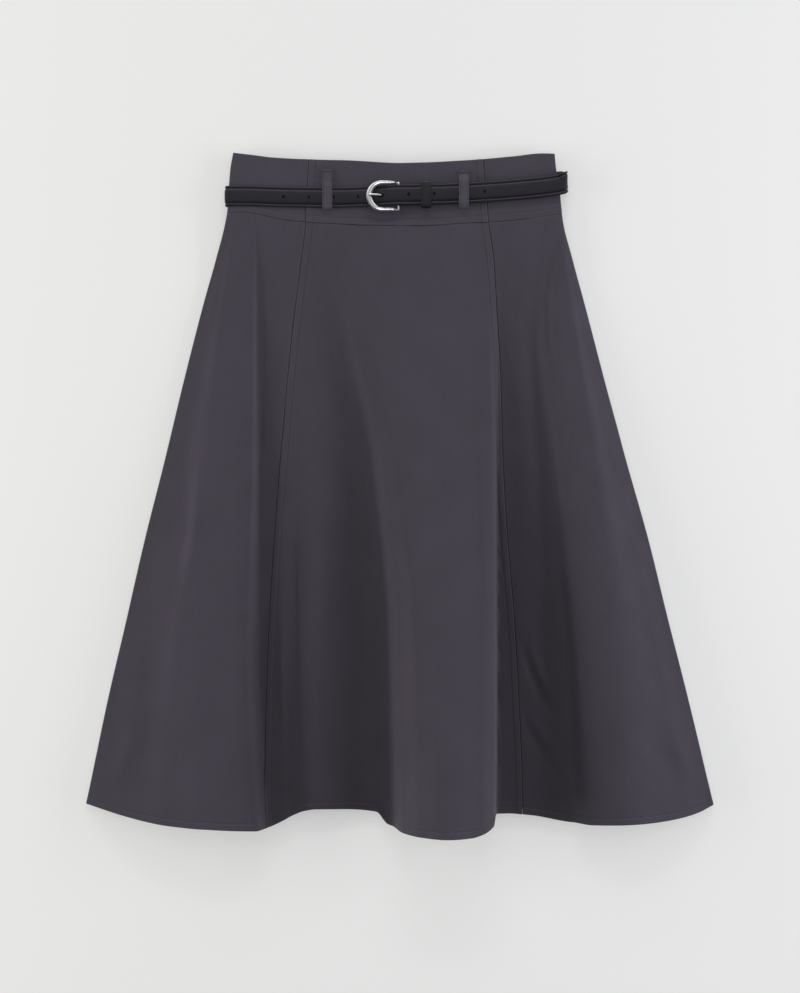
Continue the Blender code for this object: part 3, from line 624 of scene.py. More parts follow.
def make_leather():
    material, tree, shader = new_material("leather", {
        "Coat Weight": 0.08, "Coat Roughness": 0.4, "Specular IOR Level": 0.4})
    place = add(tree, "TexCoord").outputs["Object"]
    pebbles = add(tree, "TexVoronoi", {"Vector": place, "Scale": PEBBLES},
                  feature="SMOOTH_F1").outputs["Distance"]
    pores = use_group(tree, fine_grain, {"Vector": place, "Scale": 2600.0,
                                         "Depth": 0.5})["Height"]
    height = calculate(tree, "SUBTRACT", pores, pebbles)
    patches = use_group(tree, mottle, {"Vector": place, "Color": LEATHER, "Scale": 60.0,
                                       "Amount": 0.15})["Color"]
    finish = use_group(tree, edge_wear, {
        "Vector": place, "Mask": carried_mask(tree, PRESSED), "Breakup Scale": 400.0,
        "Color": patches, "Worn Color": LEATHER_RUBBED, "Roughness": 0.48,
        "Worn Roughness": 0.62})
    feed(tree, shader, {"Base Color": finish["Color"], "Roughness": finish["Roughness"],
                        "Normal": bumped(tree, height, 0.35, 0.00008)})
    return material


leather = make_leather()
print("leather nodes:", len(leather.node_tree.nodes))

# %% Steel
STEEL = (0.80, 0.80, 0.81, 1.0)
STEEL_HAZE = (0.10, 0.20)   # roughness between and on the lines of the polish


def make_steel():
    material, tree, shader = new_material("steel", {"Metallic": 1.0})
    place = add(tree, "TexCoord").outputs["Object"]
    lines = use_group(tree, fine_grain, {"Vector": place, "Scale": 900.0,
                                         "Stretch": (0.2, 3.0, 1.0), "Depth": 1.0})["Height"]
    polished = use_group(tree, mottle, {"Vector": place, "Color": STEEL, "Scale": 300.0,
                                        "Amount": 0.03})["Color"]
    feed(tree, shader, {"Base Color": polished,
                        "Roughness": rescale(tree, lines, (0.3, 0.7), STEEL_HAZE),
                        "Normal": bumped(tree, lines, 0.05, 0.00002)})
    return material


steel = make_steel()
print("steel nodes:", len(steel.node_tree.nodes))

# %% [markdown]
# ## From points to meshes
#
# Every soft piece here is a grid of points that is worked out first and then turned into a
# mesh.  NumPy does the sums on whole grids at once, so a fine mesh costs little time.
# Cloth carries a map along its grain for its material, and cloth and leather carry masks,
# such as that of the edges that are pressed or rubbed.

# %% Mesh helpers
SHARP = math.radians(50)


def grid_quads(rows, columns, closed=False):
    """Quads between the points of a grid that is numbered row by row."""
    row, column = np.meshgrid(np.arange(rows - 1), np.arange(columns - (not closed)),
                              indexing="ij")
    after = (column + 1) % columns
    corners = [row * columns + column, row * columns + after,
               (row + 1) * columns + after, (row + 1) * columns + column]
    return np.stack([corner.ravel() for corner in corners], axis=-1)


def plain_mesh(name, points, faces):
    """A mesh from points in millimetres, with its faces turned outwards."""
    mesh = bpy.data.meshes.new(name)
    mesh.from_pydata((points * MM).tolist(), [], [tuple(face) for face in faces])
    bm = bmesh.new()
    bm.from_mesh(mesh)
    bmesh.ops.recalc_face_normals(bm, faces=bm.faces)
    bm.to_mesh(mesh)
    bm.free()
    return mesh


def smooth(mesh):
    """Shades a mesh smooth, except across its sharp edges."""
    mesh.shade_smooth()
    mesh.set_sharp_from_angle(angle=SHARP)


def make_piece(name, points, faces, material, masks=None, grain=None):
    """An object from points in millimetres, riding on the skirt's one body."""
    mesh = plain_mesh(name, points, faces)
    for mask_name, values in (masks or {}).items():
        mask = mesh.attributes.new(mask_name, "FLOAT", "POINT")
        mask.data.foreach_set("value", np.clip(values, 0, 1).astype(np.float32))
    if grain is not None:
        corner = np.empty(len(mesh.loops), dtype=np.int32)
        mesh.loops.foreach_get("vertex_index", corner)
        mesh.uv_layers.new(name=CLOTH_MAP).data.foreach_set("uv", (grain * MM)[corner].ravel())
    smooth(mesh)
    mesh.materials.append(material)
    piece = bpy.data.objects.new(name, mesh)
    bpy.context.scene.collection.objects.link(piece)
    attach(piece, "root")
    return piece


print("mesh helpers ready")

# %% [markdown]
# ## A panel of cloth
#
# A panel is a grid between its four edges.  Its points lie close together beside the edges,
# where the cloth rolls into the seam and the topstitching sinks in, and further apart in the
# middle.  The wall below it is 1.2 mm thick, with a rounded rim where the edge is free.

# %% The grid of a panel
ROW_SAMPLES = 500
EDGE_MARKS = (0.0, 0.25, 0.6, 1.1, 1.8, 2.8, 4.2)
STITCH_MARKS = (-0.8, -0.4, 0.0, 0.4, 1.0, 2.2)  # before and after a stitch line
SEAM_STITCH = 6.5           # from a seam to the topstitching beside it
YOKE_STITCH = 7.0           # from the yoke's lower edge to its topstitching
HEM_STITCH = 7.3            # from the hem to its stitching


class Panel:
    """Points of a panel, and how far each is from the panel's four edges."""

    def __init__(self, left, right, top, foot, height, stitched, columns, rows):
        self.stitched = stitched
        length = edge_down[foot](0.0) - edge_down[top](0.0)
        near = {side: marks_beside(stitched.get(side)) for side in ("left", "right", "foot")}
        row_marks = spread(length, rows, marks_beside(None), near["foot"])
        self.shares = row_marks / length
        lines = [row_line(left, right, top, foot, share, height) for share in self.shares]
        grid = []
        from_left = []
        for line in lines:
            marks = spread(travelled(line)[-1], columns, near["left"], near["right"])
            grid.append(points_along(line, marks))
            from_left.append(marks)
        self.points = np.array(grid)
        self.inside = {"left": np.array(from_left)}
        self.inside["right"] = self.inside["left"][:, -1:] - self.inside["left"]
        steps = np.linalg.norm(np.diff(self.points, axis=0), axis=2)
        from_top = np.concatenate([np.zeros((1, steps.shape[1])), np.cumsum(steps, axis=0)])
        self.inside["top"] = from_top
        self.inside["foot"] = from_top[-1:] - from_top
        along = np.gradient(self.points, axis=1)
        down = np.gradient(self.points, axis=0)
        self.normal = unit(np.cross(down, along))
        middle = self.inside["left"][:, -1:] / 2
        self.grain = np.stack([self.inside["left"] - middle, -from_top], axis=-1)


def marks_beside(stitch):
    """Distances from an edge at which a panel has points, close together at a stitch line."""
    line = SEAM_STITCH if stitch is None else stitch
    return np.array(EDGE_MARKS + tuple(line + step for step in STITCH_MARKS))


def spread(length, count, near_start, near_end):
    """Distances along a line: close together near its ends, even in the middle."""
    middle = np.linspace(near_start[-1], length - near_end[-1], count + 2)[1:-1]
    return np.concatenate([near_start, middle, length - near_end[::-1]])


def row_line(left, right, top, foot, share, height):
    """One row of a panel, from its left seam to its right one."""
    across = np.linspace(0, 1, ROW_SAMPLES)
    inset_left = 0.0 if left == "side_left" else GAP / 2
    inset_right = 0.0 if right == "side_right" else GAP / 2
    x = mix(line_at(left, top, foot, share) + inset_left,
            line_at(right, top, foot, share) - inset_right, across)
    top_x = mix(line_at(left, top, foot, 0.0), line_at(right, top, foot, 0.0), across)
    foot_x = mix(line_at(left, top, foot, 1.0), line_at(right, top, foot, 1.0), across)
    first = edge_down[top](top_x) + (0.0 if top == "waist" else GAP / 2)
    last = edge_down[foot](foot_x) - (GAP / 2 if foot == "yoke_seam" else 0.0)
    down = mix(first, last, share)
    return points_at(x, down, height(x, down, share))


print("marks beside a topstitched seam, mm:", marks_beside(SEAM_STITCH))

# %% [markdown]
# ## Seams, hems and creases
#
# Three things give sewn cloth its look.  An edge rolls down into its seam, so the seam reads
# as a thin dark line.  The seam allowance lies below the cloth on one side of it and lifts a
# flat band, which ends where the topstitching dents it.  And the thread draws the cloth up a
# little, so the band is faintly puckered.  All of it is a height added to the panel along
# its normal, worked out from the distance to each edge.
#
# The few creases that are not part of a fold are soft troughs and ridges along short lines.

# %% Heights of seams and creases
EDGE_ROLL = 0.8             # radius of an edge that rolls into a seam
BAND = 0.3                  # lift of the cloth over a seam allowance
BAND_SLOPE = 1.6            # width over which that lift ends
DENT = 0.42                 # depth that the thread sinks in
DENT_WIDTH = 0.5
PUCKER = 0.10
PUCKER_REACH = 5.0          # how far a pucker reaches on each side of its stitch line
UNEVEN = 0.22               # gentle unevenness of the whole cloth
PRESSED_WIDTH = 1.0
RIPPLES, RIPPLE_LENGTHS = 5, (7.0, 16.0)         # waves that make up a pucker
WAVES, WAVE_LENGTHS, WAVE_TILT = 8, (28.0, 75.0), 0.35       # and the unevenness

CREASES = [
    # x and down of the line's points, half width, height at its middle
    (((121.5, 492.0), (131.0, 520.0), (143.5, 548.0), (162.0, 573.0)), 4.0, -2.2),
    (((128.0, 488.0), (139.0, 516.0), (151.0, 541.0), (168.0, 560.0)), 4.0, 1.5),
    (((122.5, 566.0), (132.0, 583.0), (144.0, 600.0), (160.0, 628.0)), 4.0, -2.0),
    (((126.0, 556.0), (140.0, 577.0), (154.0, 596.0), (168.0, 620.0)), 4.0, 1.3),
    (((160.0, 70.0), (152.0, 110.0), (146.0, 150.0), (149.0, 195.0), (157.0, 250.0)), 5.0, -1.8),
    (((-141.0, 72.0), (-140.5, 150.0), (-140.0, 230.0), (-139.0, 310.0)), 3.2, -1.8),
    (((-88.0, 88.0), (-78.0, 140.0), (-66.0, 195.0), (-54.0, 250.0)), 8.0, -1.5),
    (((-118.5, 460.0), (-117.0, 530.0), (-113.5, 606.0)), 2.6, 1.2),
    (((-98.0, 350.0), (-104.0, 410.0), (-103.5, 500.0), (-101.0, 610.0)), 5.0, -2.2),
    (((-199.0, 318.0), (-203.0, 385.0), (-214.0, 440.0)), 6.0, 0.9),
    (((-214.0, 440.0), (-222.0, 490.0), (-226.0, 560.0)), 8.0, 0.8),
    (((-207.0, 300.0), (-213.0, 380.0), (-226.0, 450.0)), 7.0, -0.6),
    (((-4.0, 120.0), (-2.0, 230.0), (4.0, 330.0)), 9.0, 0.7),
    (((30.0, 150.0), (34.0, 260.0), (38.0, 420.0)), 10.0, -0.8),
    (((-176.0, 110.0), (-186.0, 150.0), (-190.0, 190.0)), 5.0, 0.6),
    (((196.0, 150.0), (212.0, 210.0), (222.0, 300.0)), 8.0, 0.6),
    (((-286.0, 628.0), (-270.0, 600.0), (-250.0, 560.0)), 9.0, 1.0),
    (((290.0, 628.0), (276.0, 596.0), (258.0, 560.0)), 9.0, 0.9),
]
BACK_CREASES = [
    (((-230.0, 420.0), (-214.0, 520.0), (-205.0, 630.0)), 8.0, 0.9),
    (((-60.0, 300.0), (-48.0, 430.0), (-52.0, 600.0)), 9.0, 0.8),
    (((40.0, 260.0), (52.0, 400.0), (48.0, 590.0)), 10.0, 1.1),
    (((150.0, 330.0), (196.0, 480.0), (214.0, 630.0)), 8.0, 0.9),
    (((-120.0, 150.0), (-150.0, 230.0), (-168.0, 330.0)), 6.0, 0.5),
    (((90.0, 140.0), (120.0, 210.0), (150.0, 300.0)), 6.0, 0.5),
]


def roll(distance, radius):
    """How far an edge has turned down, at a distance from it."""
    left = np.clip(radius - distance, 0.0, radius)
    return radius - np.sqrt(radius ** 2 - left ** 2)


def ripple(along, seed):
    """An uneven wave along a line, mostly between -1 and 1."""
    chance = np.random.default_rng(seed)
    lengths = chance.uniform(*RIPPLE_LENGTHS, RIPPLES)
    starts = chance.uniform(0.0, 1.0, RIPPLES)
    return sum(np.sin(math.tau * (along / n + s)) for n, s in zip(lengths, starts)) / 3


def bell(distance, width):
    return np.exp(-(distance / width) ** 2)


def stitched_band(distance, stitch, along, seed):
    """Lift over a seam allowance, the dent of the thread at its edge, and the puckers."""
    off = distance - stitch
    lift = BAND * (1 - ease(off / BAND_SLOPE))
    pucker = PUCKER * bell(off, PUCKER_REACH) * ripple(along, seed)
    return lift - DENT * bell(off, DENT_WIDTH) + pucker


def crease_height(x, down, creases):
    """Sum of the soft troughs and ridges, which fade out towards the ends of their lines."""
    total = np.zeros_like(x)
    for line, width, height in creases:
        line = np.array(line)
        reached = travelled(line)
        nearest = np.full(x.shape, np.inf)
        at = np.zeros_like(x)
        for (x0, d0), (x1, d1), start, stop in zip(line, line[1:], reached, reached[1:]):
            length = stop - start
            t = ((x - x0) * (x1 - x0) + (down - d0) * (d1 - d0)) / length ** 2
            t = np.clip(t, 0.0, 1.0)
            distance = np.hypot(x - mix(x0, x1, t), down - mix(d0, d1, t))
            at = np.where(distance < nearest, (start + t * length) / reached[-1], at)
            nearest = np.minimum(nearest, distance)
        total += height * np.sin(math.pi * at) ** 0.8 * bell(nearest, width)
    return total


def unevenness(x, down, seed):
    """Long low waves in the cloth, mostly running from the waist to the hem."""
    chance = np.random.default_rng(seed)
    total = np.zeros_like(x)
    lengths = chance.uniform(*WAVE_LENGTHS, WAVES)
    tilts = chance.normal(0.0, WAVE_TILT, WAVES)
    for length, tilt, start in zip(lengths, tilts, chance.uniform(0.0, 1.0, WAVES)):
        total += np.sin(math.tau * ((x + tilt * down) / length + start))
    return UNEVEN * total / 3


print("creases:", len(CREASES) + len(BACK_CREASES))

# %% Walls of cloth
BULGE = {"seam": 0.0, "free": 0.8}               # roundness of a rim
HEM_FOLD = 0.9              # thickness that the turned-up hem adds inside
BACK_REST = 0.25            # lift of the back where no seam allowance lies below it
DEPTH_STEPS = (20, 40, 60, 80)                   # to each side, in mm
FULL_DEPTH = 14.0           # below the cloth around it, where a place counts as fully deep
SOFTENING = (-18, -12, -6, 0, 6, 12, 18)         # to each side, in mm
GORE_ROOM = 0.8             # share of a fold's height that creases may take from it
YOKE_ROOM = 0.15            # how far the yoke may sink, where no fold lies below it
CREASE_LIMIT = 2.0          # most that creases lift the cloth
HEM_STEP = (0.6, 0.8)       # how far past its stitching the turned-up hem ends, and how soon
HEM_CLEAR = 0.3             # room kept under the turned-up hem
STITCH_PRESSED = (0.35, 1.0, 1.2)                # pressed beside stitches: how much, where, width


def wall(outer, inner, bulges):
    """Points and faces of a closed wall between two grids, with a rounded rim."""
    rows, columns = outer.shape[:2]
    number = np.arange(rows * columns).reshape(rows, columns)
    sides = [(number[0, :-1], number[1, :-1]), (number[:-1, -1], number[:-1, -2]),
             (number[-1, :0:-1], number[-2, :0:-1]), (number[:0:-1, 0], number[:0:-1, 1])]
    border = np.concatenate([rim for rim, _ in sides])
    within = np.concatenate([beside for _, beside in sides])
    bulge = np.concatenate([np.full(len(rim), amount) for (rim, _), amount in zip(sides, bulges)])
    outer = outer.reshape(-1, 3)
    inner = inner.reshape(-1, 3)
    away = unit(outer[border] - outer[within])
    centre = (outer + inner)[border] / 2
    half = (outer - inner)[border] / 2
    reach = np.linalg.norm(half, axis=1, keepdims=True) * bulge[:, None]
    rings = [centre + half * math.cos(turned) + away * reach * math.sin(turned)
             for turned in (math.pi / 3, 2 * math.pi / 3)]
    count = len(outer)
    loops = [border, 2 * count + np.arange(len(border)),
             2 * count + len(border) + np.arange(len(border)), border + count]
    rim = grid_quads(4, len(border), closed=True)
    faces = np.concatenate([grid_quads(rows, columns), grid_quads(rows, columns) + count,
                            np.concatenate(loops)[rim]])
    source = np.concatenate([np.arange(count), np.arange(count), border, border])
    return np.concatenate([outer, inner] + rings), faces, source


# The depth worked out here is the mask of painted shade that darkens the suiting.
def depth_at(height, x):
    """1 deep between two folds, about a half on a fold's flank, and 0 where cloth is free."""
    sides = [np.mean([height(x + way * step) for step in DEPTH_STEPS], axis=0)
             for way in (-1, 1)]
    between = np.mean(sides, axis=0) - height(x)
    beside = np.max(sides, axis=0) - height(x)
    return (np.clip(between / FULL_DEPTH, 0, 1) + np.clip(beside / FULL_DEPTH, 0, 1)) / 2


def fold_depth(panel):
    """That depth over a whole panel, with its borders softened."""
    depth = []
    for share, row in zip(panel.shares, panel.points[..., 0]):
        height = folds_across(float(share))
        depth.append(np.mean([depth_at(height, row + shift) for shift in SOFTENING], axis=0))
    return np.array(depth)


def dress_panel(name, panel, bulges, seed, back=False):
    """Adds seams and creases to a panel, and makes its wall of cloth."""
    x = panel.points[..., 0]
    down = MIDDLE - panel.points[..., 1]
    share = panel.shares[:, None] * np.ones_like(x)
    inside = panel.inside
    is_gore = "gore" in name
    drop = share if is_gore else np.zeros_like(share)
    folds = np.array([folds_across(float(row[0]))(line) for row, line in zip(drop, x)])
    room = GORE_ROOM * folds if is_gore else np.full_like(folds, YOKE_ROOM)
    shape = crease_height(x, down, BACK_CREASES if back else CREASES) if is_gore else 0.0
    shape = shape + unevenness(x, down, seed)
    if back:
        shape = -np.clip(np.abs(shape), 0.0, room / 2)
    else:
        shape = np.clip(shape, -room, CREASE_LIMIT)
    detail = -sum(roll(inside[side], EDGE_ROLL) for side in inside)
    for number, (side, stitch) in enumerate(panel.stitched.items()):
        along = inside["left"] if side in ("foot", "top") else inside["top"]
        detail = detail + stitched_band(inside[side], stitch, along, seed + number)
    if back:
        detail = np.minimum(detail, BACK_REST)
    outer = panel.points + panel.normal * (shape + detail)[..., None]
    past, slope = HEM_STEP
    turned_up = 1 - ease((inside["foot"] - HEM_STITCH - past) / slope) if is_gore else 0.0
    fold = np.minimum(HEM_FOLD * turned_up, np.clip(folds / 2 - HEM_CLEAR, 0.0, None))
    below = shape - (CLOTH - BACK_REST if back else CLOTH) - fold
    inner = panel.points + panel.normal * below[..., None]
    panel.outer = outer
    nearest = np.min([inside[side] for side in inside], axis=0)
    pressed = bell(nearest, PRESSED_WIDTH)
    amount, before, width = STITCH_PRESSED
    for side, stitch in panel.stitched.items():
        pressed = pressed + amount * bell(inside[side] - stitch + before, width)
    points, faces, source = wall(outer, inner, bulges)
    masks = {PRESSED: pressed.ravel()[source]}
    # painted shade: the front gores carry the depth mask that darkens their colour in the valleys
    if is_gore and not back:
        masks[PAINTED_SHADE_MASK] = fold_depth(panel).ravel()[source]
    cloth = make_piece(name + "_cloth", points, faces, suiting, masks,
                       panel.grain.reshape(-1, 2)[source])
    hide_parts(name)
    return cloth


print("kinds of rim:", list(BULGE))

# %% [markdown]
# ## Stitches
#
# A machine stitch is a short length of thread that comes up through the cloth, lies on it
# for 2.4 mm and goes down again.  Each one here is a slim rod with its ends sunk in the
# cloth.  All the stitches of one panel are joined in one mesh, so that a thousand of them
# stay one piece.

# %% Stitches
STITCH = 2.4                # length that shows
STITCH_STEP = 3.0
THREAD_RADIUS = 0.2
STITCH_SIDES = 6
STITCH_SHAPE = [
    # share of the length, share of the radius, height of the middle in radii
    (0.0, 0.4, -0.8), (0.15, 0.85, 0.1), (0.5, 1.0, 0.5), (0.85, 0.85, 0.1), (1.0, 0.4, -0.8),
]


def line_inside(panel, side, distance):
    """Points of a panel at one distance from one of its edges, and which way is up there."""
    steps = panel.inside[side]
    points = panel.outer
    ups = panel.normal
    if side in ("top", "foot"):
        steps = steps.T
        points = points.transpose(1, 0, 2)
        ups = ups.transpose(1, 0, 2)
    if side in ("right", "foot"):
        steps = steps[:, ::-1]
        points = points[:, ::-1]
        ups = ups[:, ::-1]
    return [np.array([read_off(distance, reached, row) for reached, row in zip(steps, values)])
            for values in (points, ups)]


def stitches_along(points, ups, stitch=STITCH, step=STITCH_STEP):
    """Start, stop and up of each stitch on a sewn line."""
    reached = travelled(points)
    starts = np.arange(step / 2, reached[-1] - stitch, step)
    up = unit(read_off(starts, reached, ups))
    return points_along(points, starts), points_along(points, starts + stitch), up


def make_stitches(name, runs, material, radius=THREAD_RADIUS):
    """One mesh of many stitches. Each run gives the starts, stops and ups of its stitches."""
    start, stop, up = [np.concatenate(parts) for parts in zip(*runs)]
    along = unit(stop - start)
    side = unit(np.cross(along, up))
    turns = np.arange(STITCH_SIDES) * math.tau / STITCH_SIDES
    rings = []
    for share, size, rise in STITCH_SHAPE:
        middle = mix(start, stop, share) + up * radius * rise
        ring = (side[:, None] * np.cos(turns)[:, None] + up[:, None] * np.sin(turns)[:, None])
        rings.append(middle[:, None] + ring * radius * size)
    points = np.stack(rings, axis=1)
    each = len(STITCH_SHAPE) * STITCH_SIDES
    sides = grid_quads(len(STITCH_SHAPE), STITCH_SIDES, closed=True)
    caps = np.arange(STITCH_SIDES), np.arange(each - STITCH_SIDES, each)
    faces = []
    for number in range(len(start)):
        faces.extend((sides + number * each).tolist())
        faces.extend((cap + number * each).tolist() for cap in caps)
    piece = make_piece(name, points.reshape(-1, 3), faces, material)
    return piece


print("a stitch, mm:", STITCH, "every", STITCH_STEP)

# %% [markdown]
# ## The skirt
#
# The front has a yoke and a row of gores in three panels each, and the back has two of each.
# The centre panels are the topstitched ones, because their seam allowances are pressed
# inwards.

# %% Front and back panels
PANELS = [
    # name, left line, right line, top edge, foot edge, stitch lines, columns, rows
    ("front_yoke_left", "side_left", "seam_left", "waist", "yoke_seam",
     {"foot": YOKE_STITCH}, 24, 14),
    ("front_yoke_centre", "seam_left", "seam_right", "waist", "yoke_seam",
     {"left": SEAM_STITCH, "right": SEAM_STITCH, "foot": YOKE_STITCH}, 60, 14),
    ("front_yoke_right", "seam_right", "side_right", "waist", "yoke_seam",
     {"foot": YOKE_STITCH}, 22, 14),
    ("front_gore_left", "side_left", "seam_left", "yoke_seam", "front_hem",
     {"foot": HEM_STITCH}, 60, 120),
    ("front_gore_centre", "seam_left", "seam_right", "yoke_seam", "front_hem",
     {"left": SEAM_STITCH, "right": SEAM_STITCH, "foot": HEM_STITCH}, 120, 120),
    ("front_gore_right", "seam_right", "side_right", "yoke_seam", "front_hem",
     {"foot": HEM_STITCH}, 66, 120),
    ("back_yoke_left", "side_left", "back_seam", "waist", "yoke_seam",
     {"foot": YOKE_STITCH}, 30, 12),
    ("back_yoke_right", "back_seam", "side_right", "waist", "yoke_seam",
     {"foot": YOKE_STITCH}, 30, 12),
    ("back_gore_left", "side_left", "back_seam", "yoke_seam", "back_hem",
     {"foot": HEM_STITCH}, 50, 80),
    ("back_gore_right", "back_seam", "side_right", "yoke_seam", "back_hem",
     {"foot": HEM_STITCH}, 50, 80),
]


def back_under(x, down, share):
    """The back's underside, which rests on its seam allowances."""
    return back_lift(down) + BACK_REST


panels = {}
for number, (name, left, right, top, foot, stitched, columns, rows) in enumerate(PANELS):
    is_back = name.startswith("back")
    height = back_under if is_back else yoke_top if "yoke" in name else gore_top
    panel = Panel(left, right, top, foot, height, stitched, columns, rows)
    if is_back:
        panel.normal = -panel.normal
    free = (top == "waist", right == "side_right", "hem" in foot, left == "side_left")
    bulges = [BULGE["free" if edge_is_free else "seam"] for edge_is_free in free]
    dress_panel(name, panel, bulges, 10 * number, is_back)
    panels[name] = panel

# %% Topstitching
for name, panel in panels.items():
    runs = [stitches_along(*line_inside(panel, side, stitch))
            for side, stitch in panel.stitched.items()]
    sewing = make_stitches(name + "_topstitching", runs, thread)
print("widest panel at its hem, mm:",
      round(float(panels["back_gore_left"].inside["left"][-1, -1])))

# %% [markdown]
# ## Swept bands
#
# Belt loops, the strap, the keeper and the buckle are all bands: one cross-section carried
# along a line.  Boxes bent at their corners would look stamped out, so the line is rounded
# by cutting its corners a few times, and the section has rounded edges and stitched grooves
# of its own.

# %% Bands along a line
X_AXIS = np.array([1.0, 0.0, 0.0])
Y_AXIS = np.array([0.0, 1.0, 0.0])


def rounded(path, step, cuts=3):
    """A line with its corners cut back by about a quarter of a step, a few times over."""
    path = np.array(path, float)
    legs = np.linalg.norm(np.diff(path, axis=0), axis=1)
    dense = [path[:1]]
    for start, stop, leg in zip(path, path[1:], legs):
        shares = np.arange(1, math.ceil(leg / step) + 1) / math.ceil(leg / step)
        dense.append(mix(start, stop, shares[:, None]))
    line = np.concatenate(dense)
    for _ in range(cuts):
        near = mix(line[:-1], line[1:], 0.25)
        far = mix(line[:-1], line[1:], 0.75)
        corners = np.stack([near, far], axis=1).reshape(-1, line.shape[1])
        line = np.concatenate([line[:1], corners, line[-1:]])
    keep = np.concatenate([[True], np.linalg.norm(np.diff(line, axis=0), axis=1) > 1e-4])
    return line[keep]


def mirrored(half):
    """A section from its left half, given from its lower middle round to its upper middle."""
    other = [(-across, out) for across, out in reversed(half[1:-1])]
    return np.array(half + other, float)


def band_axes(line, side_axis, closed=False):
    """Side and up of a band at each point of its line."""
    if closed:
        forward = unit(np.roll(line, -1, axis=0) - np.roll(line, 1, axis=0))
    else:
        forward = np.empty_like(line)
        forward[1:-1] = line[2:] - line[:-2]
        forward[0] = line[1] - line[0]
        forward[-1] = line[-1] - line[-2]
        forward = unit(forward)
    side = unit(side_axis - forward * (forward @ side_axis)[:, None])
    return side, np.cross(forward, side)


def band_points(line, sections, side_axis, closed=False):
    """A section at each point of a line: one for all of them, or one for each."""
    side, up = band_axes(line, side_axis, closed)
    sections = np.broadcast_to(sections, (len(line),) + np.shape(sections)[-2:])
    return line[:, None] + side[:, None] * sections[..., :1] + up[:, None] * sections[..., 1:]


def band_faces(rings, around, closed=False):
    """Faces of a band, with a cap at each end of an open one."""
    faces = grid_quads(rings, around, closed=True).tolist()
    if closed:
        last = (rings - 1) * around
        faces += [[last + i, last + (i + 1) % around, (i + 1) % around, i] for i in range(around)]
    else:
        faces += [list(range(around)), list(range((rings - 1) * around, rings * around))]
    return faces


def joined(parts):
    """Points and faces of several shells as one."""
    points = []
    faces = []
    count = 0
    for shell, its_faces in parts:
        points.append(shell.reshape(-1, 3))
        faces += [[corner + count for corner in face] for face in its_faces]
        count += len(points[-1])
    return np.concatenate(points), faces


print("a corner cut three times has", len(rounded([(0, 0), (1, 0), (1, 1)], 1.0)), "points")

# %% [markdown]
# ## Belt loops
#
# A belt loop is a narrow strip of the suiting, folded in four so that its raw edges are
# inside and topstitched along both edges.  Its upper end is tacked flat on the yoke with a
# short bar of dense stitches, and it crosses the belt and turns in below it.  A flat ribbon
# would have no folded edges to catch the light, so the strip is swept with rounded edges and
# a groove under each row of stitches.

# %% Belt loops
LOOP_GROOVE = 3.8           # from the loop's middle line to each row of its stitches
LOOP_GROOVE_LEVEL = 0.26    # of a row's thread, above the middle of the loop's thickness
LOOP_STITCH = 1.5
LOOP_STITCH_STEP = 1.95
LOOP_THREAD = 0.17
LOOP_TACK = 2.0             # from the loop's upper end to its bar of stitches
LOOP_FACE = 0.5             # from the middle of its thickness to its face
TACK_STITCH = 1.3
TACK_STEP = 0.42
LOOP_LIGHTENED = 0.8          # a loop's colour is lightened towards that of a pressed edge over its whole width
LOOP_EDGE = 0.7             # and most of all this near to its edges
LOOP_SECTION = mirrored([
    # across from the loop's middle, and out from the middle of its thickness
    (0.0, -0.5), (-3.6, -0.5), (-4.55, -0.46), (-4.82, -0.3), (-4.9, 0.0), (-4.84, 0.26),
    (-4.6, 0.44), (-4.3, 0.5), (-4.02, 0.38), (-3.8, 0.24), (-3.58, 0.36), (-3.2, 0.5),
    (-1.6, 0.52), (0.0, 0.52),
])
LOOPS = [
    # name, x, down and height of its middle line above what it lies on
    ("front_belt_loop_left", -72.2,
     [(18.2, 0.8), (30.5, 0.8), (35.6, 3.1), (56.6, 3.1), (57.5, 2.3), (57.7, 0.3)]),
    ("front_belt_loop_right", 63.4,
     [(19.2, 0.8), (24.0, 0.8), (30.4, 5.4), (53.0, 5.4), (55.4, 4.2), (56.4, 0.3)]),
    ("back_belt_loop_left", -72.2,
     [(16.0, 2.8), (26.0, 2.8), (30.0, 0.5), (54.5, 0.5), (56.6, 1.2), (57.2, 3.3)]),
    ("back_belt_loop_right", 63.4,
     [(10.0, 2.8), (20.0, 2.8), (24.0, 0.5), (48.5, 0.5), (50.6, 1.2), (51.2, 3.3)]),
]

belt_front = smooth_line([
    (-175.0, 44.8), (-154.0, 44.8), (-116.0, 46.1), (-66.0, 46.7), (-17.0, 45.3),
    (34.0, 43.8), (84.0, 41.5), (134.0, 37.3), (154.0, 34.7), (167.0, 32.0),
])
belt_back = smooth_line([(-175.0, 45.5), (0.0, 39.0), (167.0, 29.0)])


def belt_seat(x):
    """Top of the front yoke along the belt."""
    return yoke_top(x, belt_front(x))


